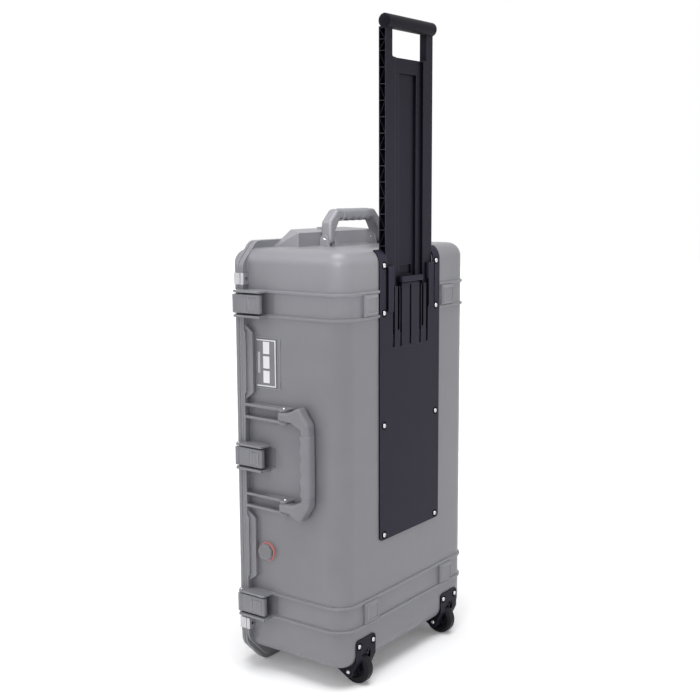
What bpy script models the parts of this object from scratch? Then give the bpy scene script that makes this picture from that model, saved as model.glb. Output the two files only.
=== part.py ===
"""Rolling flight case standing on its wheels, with the trolley handle drawn out.

+Z is up. The trolley face looks along -Y and the lid along +Y. The latches are on the -X side and
the hinges on the +X side. Heights are measured from the floor and depths from the trolley face, and
a root empty then centres the whole case over the origin.
"""
import math

import bmesh
import bpy
from mathutils import Matrix, Vector

# Fits between pieces
FIT = 0.0003
RUN = 0.0006

# Case body: the deep half that carries the trolley
BODY_WIDTH = 0.436
BODY_LENGTH = 0.788
BODY_LIFT = 0.040
BASE_DEPTH = 0.226
WALL = 0.006
SIDE_ROUND = 0.038
END_ROUND = 0.028

# Rims where the halves meet
RIM_REACH = 0.014
RIM_DEPTH = 0.013
RIM_TOP_ROUND = 0.044
RIM_LOW_ROUND = 0.055
BASE_RIM_DROP = 0.028
WIDE_RIM_DEPTH = 0.0225
WIDE_RIM_LENGTH = 0.105

# Lid
LID_DEPTH = 0.0437
LID_RIM_DEPTH = 0.0137
LID_INSET = 0.011
LID_ROUND = 0.027
LID_WALL = 0.005
LID_RIM_DROP = 0.038
GASKET_WIDTH = 0.006
GASKET_DEPTH = 0.004
GASKET_MARGIN = 0.0015

# Ridges, pads and blocks moulded on the body
RIDGE_PROUD = 0.0035
RIDGE_WIDTH = 0.005
RIDGE_PITCH = 0.046
BAND_INSET = 0.1015
PAD_PROUD = 0.008
PAD_WIDTH = 0.043
PAD_SIDE = 0.0845
PAD_INSET = 0.0005
PAD_ROUND = 0.0025
BLOCK_DEPTH = 0.052
BLOCK_TOP_HALF = 0.108
BLOCK_SLOPE = 0.026
BLOCK_RISE = 0.032

# Trolley plate, grip and the channel they slide in
PLATE_WIDTH = 0.164
PLATE_THICK = 0.0155
PLATE_SET = 0.001
PLATE_REACH = 0.401
PLATE_BURIED = 0.168
PARK_GAP = 0.008
CHANNEL_WALL = 0.004
CHANNEL_SPARE = 0.005
WINDOW_WIDTH = 0.116
WINDOW_HEIGHT = 0.049
RECESS_WIDTH = 0.094
RECESS_DEPTH = 0.002
SLOT_WIDTH = 0.058
SLOT_DEPTH = 0.004
RECESS_GAP = 0.012
SLOT_GAP = 0.027
CATCH_HOLE_WIDTH = 0.036
CATCH_HOLE_HEIGHT = 0.018
TRUSS_PITCH = 0.0295
TRUSS_TOP_PITCH = 0.020
TRUSS_TOP_CELLS = 2
TRUSS_DEPTH = 0.010
TRUSS_RIB = 0.0022
TRUSS_SKIN = 0.0025
GRIP_RADIUS = 0.013
GRIP_LENGTH = 0.184
GRIP_DOME = 0.009
GRIP_SEAT = 0.003

# Trolley cover with its catch
COVER_WIDTH = 0.209
COVER_THICK = 0.0027
COVER_DROP = 0.558
COVER_ROUND = 0.008
NOTCH_HALF = 0.058
NOTCH_DROP = 0.073
RAIL_DROP = 0.033
RAIL_LENGTH = 0.087
RAIL_PROUD = 0.0025
RAIL_ROUND = 0.0022
RAIL_MARGIN = 0.0018
GROOVE_WIDTH = 0.003
GROOVE_DEPTH = 0.0016
LONG_GROOVE_DROP = 0.189
SHORT_GROOVE_DROP = 0.157
SHORT_GROOVE_X = 0.0425
CATCH_WIDTH = 0.061
CATCH_SLIT = 0.003
CATCH_RISE = 0.018
LIP_WIDTH = 0.074
LIP_HEIGHT = 0.011
LIP_PROUD = 0.005

# Screws
SCREW_X = 0.0905
SCREW_DROPS = (0.031, 0.120, 0.334, 0.548)
HEAD_RADIUS = 0.0045
HEAD_HEIGHT = 0.0024
SHANK_RADIUS = 0.002
SHANK_BITE = 0.0045

# Wheels and their brackets
WHEEL_RADIUS = 0.031
WHEEL_WIDTH = 0.024
WHEEL_INSET = 0.0675
AXLE_DEPTH = 0.0175
AXLE_RADIUS = 0.004
AXLE_STUB = 0.002
HUB_RADIUS = 0.0195
HUB_BOSS_WALL = 0.004
HUB_PROUD = 0.0015
TREAD_ROUND = 0.007
WELL_CLEARANCE = 0.003
WELL_WALL = 0.004
BRACKET_WIDTH = 0.063
BRACKET_GAP = 0.021
BRACKET_REACH = 0.052
BRACKET_BOSS = 0.011
BRACKET_ROUND = 0.008
BRACKET_SCREW_HALF = 0.0225
BRACKET_SCREW_DROP = 0.012

# Carrying handles
LEG_WIDTH = 0.018
BAR_THICK = 0.021
BAR_DEPTH = 0.016
SLEEVE = 0.0022
WAVE_DEPTH = 0.0018
WAVE_SHARE = 0.9
WAVE_COUNT = 4
HANDLE_STANDOFF = 0.0007
EYE_REACH = 0.010
EAR_THICK = 0.005
EAR_BACK = 0.011
EAR_FRONT = 0.0095
PIN_RADIUS = 0.003
PIN_STUB = 0.0015
FRONT_PIVOT_HALF = 0.096
FRONT_SHOULDER_HALF = 0.111
FRONT_GRIP_HALF = 0.076
FRONT_REACH = 0.0745
FRONT_SHOULDER_UP = 0.050
FRONT_PIVOT_SET = 0.101
TOP_PIVOT_HALF = 0.087
TOP_SHOULDER_HALF = 0.087
TOP_GRIP_HALF = 0.062
TOP_REACH = 0.0560
TOP_SHOULDER_UP = 0.034
TOP_PIVOT_SET = 0.090

# Latches, hinges, lock plates
LATCH_WIDTH = 0.038
LATCH_THICK = 0.0105
LATCH_LENGTH = 0.068
LATCH_ROUND = 0.0035
BARREL_RADIUS = 0.0065
LATCH_PIN_RADIUS = 0.0022
GUARD_PITCH = 0.0465
GUARD_THICK = 0.004
GUARD_DEPTH = 0.063
BUTTON_WIDTH = 0.024
BUTTON_LENGTH = 0.020
BUTTON_PROUD = 0.0012
BUTTON_BEVEL = 0.001
BUTTON_BURIED = 0.0035
BUTTON_TRAVEL = 0.002
BUTTON_OFFSET = 0.048
KNUCKLE_RADIUS = 0.007
KNUCKLE_LENGTH = 0.020
HINGE_PIN_RADIUS = 0.0025
HINGE_PIN_STUB = 0.002
LOCK_INSET = 0.056
LOCK_HEIGHT = 0.022
LOCK_SHEET = 0.0015
LOCK_HOLE_RADIUS = 0.0035

# Label card and purge valve on the latch side
LABEL_HEIGHT = 0.091
LABEL_WIDTH = 0.0475
LABEL_THICK = 0.0012
LABEL_RIB = 0.003
LABEL_SHARE = 0.477
VALVE_SHARE = 0.516
VALVE_SET = 0.045
VALVE_RING_RADIUS = 0.0175
VALVE_RING_THICK = 0.004
VALVE_CAP_RADIUS = 0.0145
VALVE_CAP_HEIGHT = 0.007
VALVE_CAP_BEVEL = 0.003
VALVE_STEM_RADIUS = 0.008

# Places worked out from the sizes
HALF_WIDTH = BODY_WIDTH / 2
BODY_TOP = BODY_LIFT + BODY_LENGTH
MIDDLE = BODY_LIFT + BODY_LENGTH / 2
RIM_HALF = HALF_WIDTH + RIM_REACH
RIM_FACE = BASE_DEPTH - RIM_DEPTH
LID_START = BASE_DEPTH + FIT
LID_RIM_END = LID_START + LID_RIM_DEPTH
LID_END = LID_START + LID_DEPTH
TRAVEL = PLATE_REACH - GRIP_SEAT - PARK_GAP
PLATE_TOP = BODY_TOP + PLATE_REACH
PLATE_LOW = BODY_TOP - PLATE_BURIED
PLATE_BACK = PLATE_SET + PLATE_THICK
CHANNEL_HALF = PLATE_WIDTH / 2 + RUN
CHANNEL_LOW = PLATE_LOW - TRAVEL - CHANNEL_SPARE
CHANNEL_BACK = PLATE_BACK + RUN
COVER_FACE = -FIT - COVER_THICK
COVER_LOW = BODY_TOP - COVER_DROP
NOTCH_LOW = BODY_TOP - NOTCH_DROP
RAIL_TOP = BODY_TOP - RAIL_DROP
CATCH_LOW = BODY_TOP - LONG_GROOVE_DROP
LIP_TOP = NOTCH_LOW + CATCH_RISE
AXLE_HEIGHT = WHEEL_RADIUS
WELL_HALF = WHEEL_WIDTH / 2 + HUB_PROUD + RUN
WELL_RADIUS = WHEEL_RADIUS + WELL_CLEARANCE
HANDLE_OUT = BAR_THICK / 2 + FIT + SLEEVE + HANDLE_STANDOFF
HINGE_X = RIM_HALF + RUN + KNUCKLE_RADIUS
SIDE_REACH = HINGE_X + KNUCKLE_RADIUS
LATCH_IN = RIM_HALF + FIT
LATCH_X = LATCH_IN + BARREL_RADIUS
LATCH_Y = LID_START + LID_RIM_DEPTH / 2
BAND_HEIGHTS = (BODY_LIFT + BAND_INSET, BODY_TOP - BAND_INSET)
LATCH_HEIGHTS = {"lower": BAND_HEIGHTS[0], "middle": MIDDLE, "upper": BAND_HEIGHTS[1]}
RIDGE_HEIGHTS = [band + side * RIDGE_PITCH / 2 for band in BAND_HEIGHTS for side in (-1, 1)]
BRACKET_TOP = RIDGE_HEIGHTS[0] - RIDGE_WIDTH / 2 - BRACKET_GAP
WHEEL_X = HALF_WIDTH - WHEEL_INSET
LOCK_HEIGHTS = {"lower": BODY_LIFT + LOCK_INSET, "upper": BODY_TOP - LOCK_INSET}
LOCK_HOLE_X = HALF_WIDTH + RIM_REACH / 2
EAR_END = FRONT_PIVOT_HALF + FIT + EAR_THICK
GUARD_END = BAND_HEIGHTS[1] - MIDDLE - GUARD_PITCH / 2 - GUARD_THICK / 2
LABEL_RISE = EAR_END + LABEL_SHARE * (GUARD_END - EAR_END)
VALVE_DROP = EAR_END + VALVE_SHARE * (GUARD_END - EAR_END)
VALVE_DEPTH = BASE_DEPTH - VALVE_SET
SIDES = {"left": -1, "right": 1}
FRONT_MOST = AXLE_DEPTH - WHEEL_RADIUS
CENTRE_DEPTH = (FRONT_MOST + LID_END) / 2

# Facets on round work
FINE = 20
MEDIUM = 12
COARSE = 8
CORNER_STEPS = 4
KNUCKLE_STEPS = 9
WAVE_STEPS = 120
SMALL = 1e-6
PAST = 0.010

TURN_TO = {
    "x": Matrix(((0, 0, 1, 0), (1, 0, 0, 0), (0, 1, 0, 0), (0, 0, 0, 1))),
    "y": Matrix(((1, 0, 0, 0), (0, 0, -1, 0), (0, 1, 0, 0), (0, 0, 0, 1))),
    "z": Matrix.Identity(4),
}

for old in list(bpy.data.objects):
    bpy.data.objects.remove(old)

PARTS = bpy.data.collections.new("rolling_flight_case")
CUTTERS = bpy.data.collections.new("cutters")
for group in (PARTS, CUTTERS):
    bpy.context.scene.collection.children.link(group)

ROOT = bpy.data.objects.new("case_frame", None)
PARTS.objects.link(ROOT)
ROOT.location = (0, -CENTRE_DEPTH, 0)


def material(name, colour, roughness, metallic=0.0):
    """A plain Principled material, made once for each name."""
    if name in bpy.data.materials:
        return bpy.data.materials[name]
    made = bpy.data.materials.new(name)
    made.use_nodes = True
    shader = made.node_tree.nodes["Principled BSDF"]
    shader.inputs["Base Color"].default_value = (*colour, 1.0)
    shader.inputs["Roughness"].default_value = roughness
    shader.inputs["Metallic"].default_value = metallic
    return made


def moulded_grey():
    """Textured grey moulding of the case."""
    return material("moulded_grey", (0.25, 0.25, 0.27), 0.55)


def trolley_black():
    """Black moulding of the trolley set."""
    return material("trolley_black", (0.035, 0.033, 0.042), 0.5)


def rubber_grey():
    """Soft overmould on the carrying handles."""
    return material("rubber_grey", (0.21, 0.21, 0.22), 0.75)


def bright_steel():
    """Polished stainless steel."""
    return material("bright_steel", (0.75, 0.75, 0.77), 0.25, 1.0)


def axis_at(name, place):
    """Empty on a joint's axis, to carry the pieces that move about it."""
    empty = bpy.data.objects.new(name, None)
    PARTS.objects.link(empty)
    empty.parent = ROOT
    empty.location = place
    return empty


def hang(obj, carrier):
    """Hang an object on an empty and leave it where it was drawn in the case's frame."""
    obj.parent = carrier
    if carrier is not ROOT:
        obj.matrix_parent_inverse = Matrix.Translation(-carrier.location)


def link(name, mesh, group, carrier=ROOT):
    """Object for a mesh, hung on an empty."""
    obj = bpy.data.objects.new(name, mesh)
    group.objects.link(obj)
    hang(obj, carrier)
    return obj


def mesh_of(bm, name):
    """Mesh from a bmesh, with all faces pointing out."""
    bmesh.ops.recalc_face_normals(bm, faces=bm.faces)
    mesh = bpy.data.meshes.new(name)
    bm.to_mesh(mesh)
    bm.free()
    return mesh


def part(name, bm, finish, carrier=ROOT):
    """A piece of the case, hung on the root or on its joint's empty."""
    obj = link(name, mesh_of(bm, name), PARTS, carrier)
    obj.data.materials.append(finish)
    return obj


def helper(name, bm):
    """A hidden solid that is added to or cut from a piece."""
    obj = link(name, mesh_of(bm, name), CUTTERS)
    obj.hide_render = True
    obj.display_type = "WIRE"
    return obj


def combine(obj, other, operation):
    """Boolean with another object, which then rides on the same empty."""
    hang(other, obj.parent)
    step = obj.modifiers.new(f"{operation.lower()}_{other.name}", "BOOLEAN")
    step.operation = operation
    step.object = other


def cut(obj, name, bm):
    """Take a solid away from a piece."""
    combine(obj, helper(name, bm), "DIFFERENCE")


def add(obj, name, bm):
    """Fuse a solid to a piece."""
    combine(obj, helper(name, bm), "UNION")


def box(low, high):
    """Box between two opposite corners."""
    low = Vector(low)
    high = Vector(high)
    bm = bmesh.new()
    bmesh.ops.create_cube(bm, size=1.0)
    bmesh.ops.scale(bm, vec=high - low, verts=bm.verts)
    bmesh.ops.translate(bm, vec=(low + high) / 2, verts=bm.verts)
    return bm


def rounded(bm, chosen, radius, segments=CORNER_STEPS):
    """Round the edges that the test picks by their two ends."""
    edges = [edge for edge in bm.edges if chosen(edge.verts[0].co, edge.verts[1].co)]
    bmesh.ops.bevel(bm, geom=edges, offset=radius, offset_type="OFFSET", segments=segments,
                    profile=0.5, affect="EDGES", clamp_overlap=True)
    return bm


def along(axis):
    """Test for edges that run along one axis."""
    others = [index for index in range(3) if index != axis]
    return lambda a, b: all(abs(a[index] - b[index]) < SMALL for index in others)


def at(axis, value):
    """Test for points at one coordinate."""
    return lambda point: abs(point[axis] - value) < SMALL


def along_at(axis, plane, value):
    """Test for edges along one axis that lie in a plane across another."""
    runs = along(axis)
    lies = at(plane, value)
    return lambda a, b: runs(a, b) and lies(a) and lies(b)


def cylinder(axis, radius, start, end, centre, steps=MEDIUM):
    """Round bar along an axis from start to end. Centre holds the two other coordinates in order."""
    bm = bmesh.new()
    bmesh.ops.create_cone(bm, cap_ends=True, segments=steps, radius1=radius, radius2=radius,
                          depth=end - start)
    bmesh.ops.transform(bm, matrix=TURN_TO[axis], verts=bm.verts)
    middle = list(centre)
    middle.insert("xyz".index(axis), (start + end) / 2)
    bmesh.ops.translate(bm, vec=middle, verts=bm.verts)
    return bm


def joined(pieces):
    """One bmesh from several that don't touch."""
    whole = bmesh.new()
    for bm in pieces:
        mesh = bpy.data.meshes.new("piece")
        bm.to_mesh(mesh)
        bm.free()
        whole.from_mesh(mesh)
        bpy.data.meshes.remove(mesh)
    return whole


def outline(points, axis, start, end):
    """Flat outline carried along an axis: (y, z) along x, (x, z) along y, (x, y) along z."""
    curve = bpy.data.curves.new("outline", "CURVE")
    curve.dimensions = "2D"
    curve.fill_mode = "BOTH"
    curve.extrude = (end - start) / 2
    spline = curve.splines.new("POLY")
    spline.points.add(len(points) - 1)
    for spot, (u, v) in zip(spline.points, points):
        spot.co = (u, v, 0, 1)
    spline.use_cyclic_u = True
    holder = bpy.data.objects.new("outline", curve)
    CUTTERS.objects.link(holder)
    graph = bpy.context.evaluated_depsgraph_get()
    mesh = bpy.data.meshes.new_from_object(holder.evaluated_get(graph))
    bpy.data.objects.remove(holder)
    bm = bmesh.new()
    bm.from_mesh(mesh)
    bpy.data.meshes.remove(mesh)
    bmesh.ops.remove_doubles(bm, verts=bm.verts, dist=SMALL)
    bmesh.ops.transform(bm, matrix=TURN_TO[axis], verts=bm.verts)
    shift = [0, 0, 0]
    shift["xyz".index(axis)] = (start + end) / 2
    bmesh.ops.translate(bm, vec=shift, verts=bm.verts)
    return bm


def arc(centre, radius, start, end, steps=CORNER_STEPS):
    """Points on an arc, angles in degrees."""
    angles = [math.radians(start + (end - start) * i / steps) for i in range(steps + 1)]
    return [(centre[0] + radius * math.cos(a), centre[1] + radius * math.sin(a)) for a in angles]


def turned(name, profile, finish, place, axis, steps=FINE):
    """Turned piece: a profile of (radius, height) points, outer side running down, about an axis.

    A profile that doesn't start on the axis is a ring, and closes on its first point.
    """
    count = len(profile)
    edges = [(i, i + 1) for i in range(count - 1)]
    if profile[0][0] > SMALL:
        edges.append((count - 1, 0))
    mesh = bpy.data.meshes.new(name)
    mesh.from_pydata([(r, 0, h) for r, h in profile], edges, [])
    obj = link(name, mesh, PARTS)
    obj.matrix_local = Matrix.Translation(place) @ axis
    screw = obj.modifiers.new("turn", "SCREW")
    screw.steps = steps
    screw.render_steps = steps
    screw.use_merge_vertices = True
    screw.merge_threshold = 0.00005
    screw.use_smooth_shade = True
    mesh.materials.append(finish)
    return obj


def crowned_box(half, low, high, open_side, face, side_round, end_round):
    """Tray shape: a box with its face edges and its ends rounded, square at the open side."""
    bm = box((-half, min(open_side, face), low), (half, max(open_side, face), high))
    rounded(bm, along_at(2, 1, face), side_round)
    rim_of_ends = [at(2, low), at(2, high)]
    mouth = at(1, open_side)

    def on_an_end(a, b):
        flat = any(lies(a) and lies(b) for lies in rim_of_ends)
        return flat and not (mouth(a) and mouth(b))

    return rounded(bm, on_an_end, end_round)


def rim_slab(half, low, high, start, end):
    """Flat rim with large lower corners and smaller upper ones."""
    bm = box((-half, start, low), (half, end, high))
    rounded(bm, along_at(1, 2, low), RIM_LOW_ROUND)
    return rounded(bm, along_at(1, 2, high), RIM_TOP_ROUND)


def trapezoid_block(base_height, tip_height, start, end):
    """Block with sloping ends, standing on a case end and reaching to its tip height."""
    wide = BLOCK_TOP_HALF + BLOCK_SLOPE
    points = [(-wide, base_height), (-BLOCK_TOP_HALF, tip_height),
              (BLOCK_TOP_HALF, tip_height), (wide, base_height)]
    return outline(points, "y", start, end)


def well(x, radius, half):
    """Round space for a wheel about its axle."""
    return cylinder("x", radius, x - half, x + half, (AXLE_DEPTH, AXLE_HEIGHT), FINE)


def channel_block(half, low, back):
    """Block about the trolley channel, open at the case's top."""
    return box((-half, -PAST, low), (half, back, BODY_TOP + PAST))


def guard_ribs(start, end):
    """Pairs of ribs that flank each latch on the -X side."""
    ribs = []
    for height in LATCH_HEIGHTS.values():
        for side in (-1, 1):
            middle = height + side * GUARD_PITCH / 2
            rib = box((-SIDE_REACH, start, middle - GUARD_THICK / 2),
                      (-HALF_WIDTH + LID_INSET + LID_WALL / 2, end, middle + GUARD_THICK / 2))
            ribs.append(rib)
    return joined(ribs)


def knuckles(spans, side, gap):
    """Hinge knuckles with the webs that carry them, on the +X side.

    The side is -1 on the base and 1 on the lid, and the gap is the depth at which the webs end.
    """
    section = arc((HINGE_X, BASE_DEPTH), KNUCKLE_RADIUS, side * 90, -side * 180, KNUCKLE_STEPS)
    section += [(HINGE_X - KNUCKLE_RADIUS, gap), (HALF_WIDTH, gap),
                (HALF_WIDTH, BASE_DEPTH + side * KNUCKLE_RADIUS)]
    bodies = [outline(section, "z", height + low, height + high)
              for height in LATCH_HEIGHTS.values() for low, high in spans]
    return joined(bodies)


def hinge_bores():
    """Bores for the hinge pins."""
    reach = 2 * KNUCKLE_LENGTH
    bars = [cylinder("z", HINGE_PIN_RADIUS + FIT, height - reach, height + reach,
                     (HINGE_X, BASE_DEPTH), COARSE) for height in LATCH_HEIGHTS.values()]
    return joined(bars)


def lock_holes(start, end):
    """Padlock holes through the rims on the -X side."""
    bars = [cylinder("y", LOCK_HOLE_RADIUS, start, end, (-LOCK_HOLE_X, height), COARSE)
            for height in LOCK_HEIGHTS.values()]
    return joined(bars)


def screw_spots():
    """Places of the screws on the trolley face, as (x, height)."""
    spots = {}
    number = 1
    for drop in SCREW_DROPS:
        for side in SIDES.values():
            spots[f"cover_screw_{number}"] = (side * SCREW_X, BODY_TOP - drop)
            number += 1
    for name, side in SIDES.items():
        for place, offset in (("outer", BRACKET_SCREW_HALF), ("inner", -BRACKET_SCREW_HALF)):
            spot = (side * (WHEEL_X + offset), BRACKET_TOP - BRACKET_SCREW_DROP)
            spots[f"bracket_screw_{name}_{place}"] = spot
    return spots


def screw_holes(names, start, end):
    """Holes for some of the screws, along the depth."""
    spots = screw_spots()
    bars = [cylinder("y", SHANK_RADIUS + FIT, start, end, spots[name], COARSE) for name in names]
    return joined(bars)


def ear_spans(pivot_half):
    """Stretches along a handle's pin axis that its ears take up, on the positive side."""
    outer = pivot_half + FIT
    inner = pivot_half - LEG_WIDTH - FIT
    return (outer, outer + EAR_THICK), (inner - EAR_THICK, inner)


FRONT_PIVOT = Vector((-HALF_WIDTH - HANDLE_OUT, BASE_DEPTH - FRONT_PIVOT_SET, MIDDLE))
TOP_PIVOT = Vector((0, BASE_DEPTH - TOP_PIVOT_SET, BODY_TOP + HANDLE_OUT))


def front_ears():
    """Long ribs from the rim that carry the front handle's pins."""
    ribs = []
    for side in (-1, 1):
        for near, far in ear_spans(FRONT_PIVOT_HALF):
            ends = sorted((MIDDLE + side * near, MIDDLE + side * far))
            rib = box((FRONT_PIVOT.x - EAR_FRONT, FRONT_PIVOT.y - EAR_BACK, ends[0]),
                      (-HALF_WIDTH + WALL / 2, RIM_FACE + RIM_DEPTH / 2, ends[1]))
            rounded(rib, along_at(2, 0, FRONT_PIVOT.x - EAR_FRONT), EAR_FRONT / 2, 2)
            ribs.append(rib)
    return joined(ribs)


def top_ears():
    """Ears on the top end that carry the top handle's pins."""
    ears = []
    for side in (-1, 1):
        for near, far in ear_spans(TOP_PIVOT_HALF):
            ends = sorted((side * near, side * far))
            ear = box((ends[0], TOP_PIVOT.y - EAR_BACK, BODY_TOP - WALL / 2),
                      (ends[1], TOP_PIVOT.y + EAR_BACK, TOP_PIVOT.z + EAR_FRONT))
            rounded(ear, along_at(0, 2, TOP_PIVOT.z + EAR_FRONT), EAR_FRONT / 2, 2)
            ears.append(ear)
    return joined(ears)


def pin_span(pivot_half):
    """Ends of a handle pin along its axis, on the positive side."""
    (_, outer), (inner, _) = ear_spans(pivot_half)
    return inner - PIN_STUB, outer + PIN_STUB


def handle_bores(extra):
    """Bores through the ears of both handles."""
    low_front, high_front = pin_span(FRONT_PIVOT_HALF)
    low_top, high_top = pin_span(TOP_PIVOT_HALF)
    radius = PIN_RADIUS + FIT
    bars = []
    for side in (-1, 1):
        ends = sorted((MIDDLE + side * (low_front - extra), MIDDLE + side * (high_front + extra)))
        bars.append(cylinder("z", radius, *ends, (FRONT_PIVOT.x, FRONT_PIVOT.y), COARSE))
        ends = sorted((side * (low_top - extra), side * (high_top + extra)))
        bars.append(cylinder("x", radius, *ends, (TOP_PIVOT.y, TOP_PIVOT.z), COARSE))
    return joined(bars)


def cavity():
    """Inside of the base, less the blocks that wall off the trolley channel and the wheels."""
    inside = helper("base_cavity", crowned_box(
        HALF_WIDTH - WALL, BODY_LIFT + WALL, BODY_TOP - WALL, BASE_DEPTH + PAST, WALL,
        SIDE_ROUND - WALL, END_ROUND - WALL))
    cut(inside, "channel_housing", channel_block(
        CHANNEL_HALF + CHANNEL_WALL, CHANNEL_LOW - CHANNEL_WALL, CHANNEL_BACK + CHANNEL_WALL))
    housings = [well(side * WHEEL_X, WELL_RADIUS + WELL_WALL, WELL_HALF + WELL_WALL)
                for side in SIDES.values()]
    cut(inside, "wheel_housings", joined(housings))
    return inside


def label_frame():
    """Moulded border about the label card."""
    low, high = label_span(LABEL_RIB)
    frame = helper("label_border", box(
        (-HALF_WIDTH - LABEL_THICK, low[0], low[1]), (-HALF_WIDTH + WALL / 2, high[0], high[1])))
    low, high = label_span(FIT)
    cut(frame, "label_bed", box((-HALF_WIDTH - PAST, low[0], low[1]), (-HALF_WIDTH, high[0], high[1])))
    return frame


def label_span(margin):
    """Low and high (depth, height) corners of the label card, grown by a margin."""
    far = BASE_DEPTH - WIDE_RIM_DEPTH - LABEL_RIB - FIT
    middle = MIDDLE + LABEL_RISE
    low = (far - LABEL_WIDTH - margin, middle - LABEL_HEIGHT / 2 - margin)
    high = (far + margin, middle + LABEL_HEIGHT / 2 + margin)
    return low, high


def base_shell():
    """Deep half of the case, with everything that is moulded in one with it."""
    inside_rim = BASE_DEPTH - RIM_DEPTH / 2
    shell = part("base_shell", crowned_box(
        HALF_WIDTH, BODY_LIFT, BODY_TOP, inside_rim, 0, SIDE_ROUND, END_ROUND), moulded_grey())
    add(shell, "base_rim", rim_slab(RIM_HALF, BODY_LIFT - BASE_RIM_DROP, BODY_TOP + RIM_REACH,
                                    RIM_FACE, BASE_DEPTH))
    wide = []
    for side in (-1, 1):
        middle = MIDDLE + side * LABEL_RISE
        zone = box((-RIM_HALF, BASE_DEPTH - WIDE_RIM_DEPTH, middle - WIDE_RIM_LENGTH / 2),
                   (-HALF_WIDTH + WALL / 2, BASE_DEPTH, middle + WIDE_RIM_LENGTH / 2))
        step = WIDE_RIM_DEPTH - RIM_DEPTH
        wide.append(rounded(zone, along_at(0, 1, BASE_DEPTH - WIDE_RIM_DEPTH), step, 1))
    add(shell, "wide_rims", joined(wide))
    ridges = []
    for height in RIDGE_HEIGHTS:
        ridge = box((-HALF_WIDTH - RIDGE_PROUD, -RIDGE_PROUD, height - RIDGE_WIDTH / 2),
                    (HALF_WIDTH + RIDGE_PROUD, RIM_FACE + RIM_DEPTH / 2, height + RIDGE_WIDTH / 2))
        ridges.append(rounded(ridge, along_at(2, 1, -RIDGE_PROUD), SIDE_ROUND + RIDGE_PROUD))
    add(shell, "ridges", joined(ridges))
    pads = []
    pad_half = RIDGE_PITCH / 2 - RIDGE_WIDTH / 2 - PAD_INSET
    for height in BAND_HEIGHTS:
        for side in SIDES.values():
            middle = side * (HALF_WIDTH - PAD_SIDE)
            pad = box((middle - PAD_WIDTH / 2, -PAD_PROUD, height - pad_half),
                      (middle + PAD_WIDTH / 2, WALL / 2, height + pad_half))
            lies = at(1, -PAD_PROUD)
            pads.append(rounded(pad, lambda a, b: lies(a) and lies(b), PAD_ROUND, 2))
    add(shell, "pads", joined(pads))
    block_start = BASE_DEPTH - BLOCK_DEPTH
    add(shell, "handle_shield", trapezoid_block(
        BODY_TOP - WALL / 2, BODY_TOP + BLOCK_RISE, block_start, inside_rim))
    add(shell, "standing_foot", trapezoid_block(BODY_LIFT + WALL / 2, 0, block_start, inside_rim))
    add(shell, "base_guards", guard_ribs(BASE_DEPTH - GUARD_DEPTH, BASE_DEPTH - FIT))
    add(shell, "front_ears", front_ears())
    add(shell, "top_ears", top_ears())
    half = KNUCKLE_LENGTH / 2
    spans = [(-half - RUN - KNUCKLE_LENGTH, -half - RUN), (half + RUN, half + RUN + KNUCKLE_LENGTH)]
    add(shell, "base_knuckles", knuckles(spans, -1, BASE_DEPTH - FIT))
    combine(shell, label_frame(), "UNION")
    combine(shell, cavity(), "DIFFERENCE")
    cut(shell, "cover_seat", box((-COVER_WIDTH / 2 - FIT, -PAST, COVER_LOW - FIT),
                                 (COVER_WIDTH / 2 + FIT, 0, BODY_TOP - END_ROUND)))
    cut(shell, "channel", channel_block(CHANNEL_HALF, CHANNEL_LOW, CHANNEL_BACK))
    cut(shell, "wheel_wells", joined([well(side * WHEEL_X, WELL_RADIUS, WELL_HALF)
                                      for side in SIDES.values()]))
    cut(shell, "screw_sockets", screw_holes(screw_spots(), -PAST, SHANK_BITE + FIT))
    cut(shell, "handle_bores", handle_bores(PAST))
    cut(shell, "base_hinge_bores", hinge_bores())
    cut(shell, "base_lock_holes", lock_holes(RIM_FACE - PAST, BASE_DEPTH + PAST))
    cut(shell, "valve_hole", cylinder(
        "x", VALVE_STEM_RADIUS + FIT, -HALF_WIDTH - PAST, -HALF_WIDTH + PAST,
        (VALVE_DEPTH, MIDDLE - VALVE_DROP), MEDIUM))


def gasket_ring(spare, start, depth):
    """Outer and inner slabs of a ring on the lid, over the edge of the base's wall."""
    near = GASKET_MARGIN - WALL
    ring = wall_slab(near + GASKET_WIDTH + spare, start, LID_START + depth)
    hole = wall_slab(near - spare, start - PAST, LID_START + depth + PAST)
    return ring, hole


def wall_slab(reach, start, end):
    """Slab with round corners, grown about the body's outline by a reach."""
    half = HALF_WIDTH + reach
    bm = box((-half, start, BODY_LIFT - reach), (half, end, BODY_TOP + reach))
    return rounded(bm, along(1), END_ROUND + reach)


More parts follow.
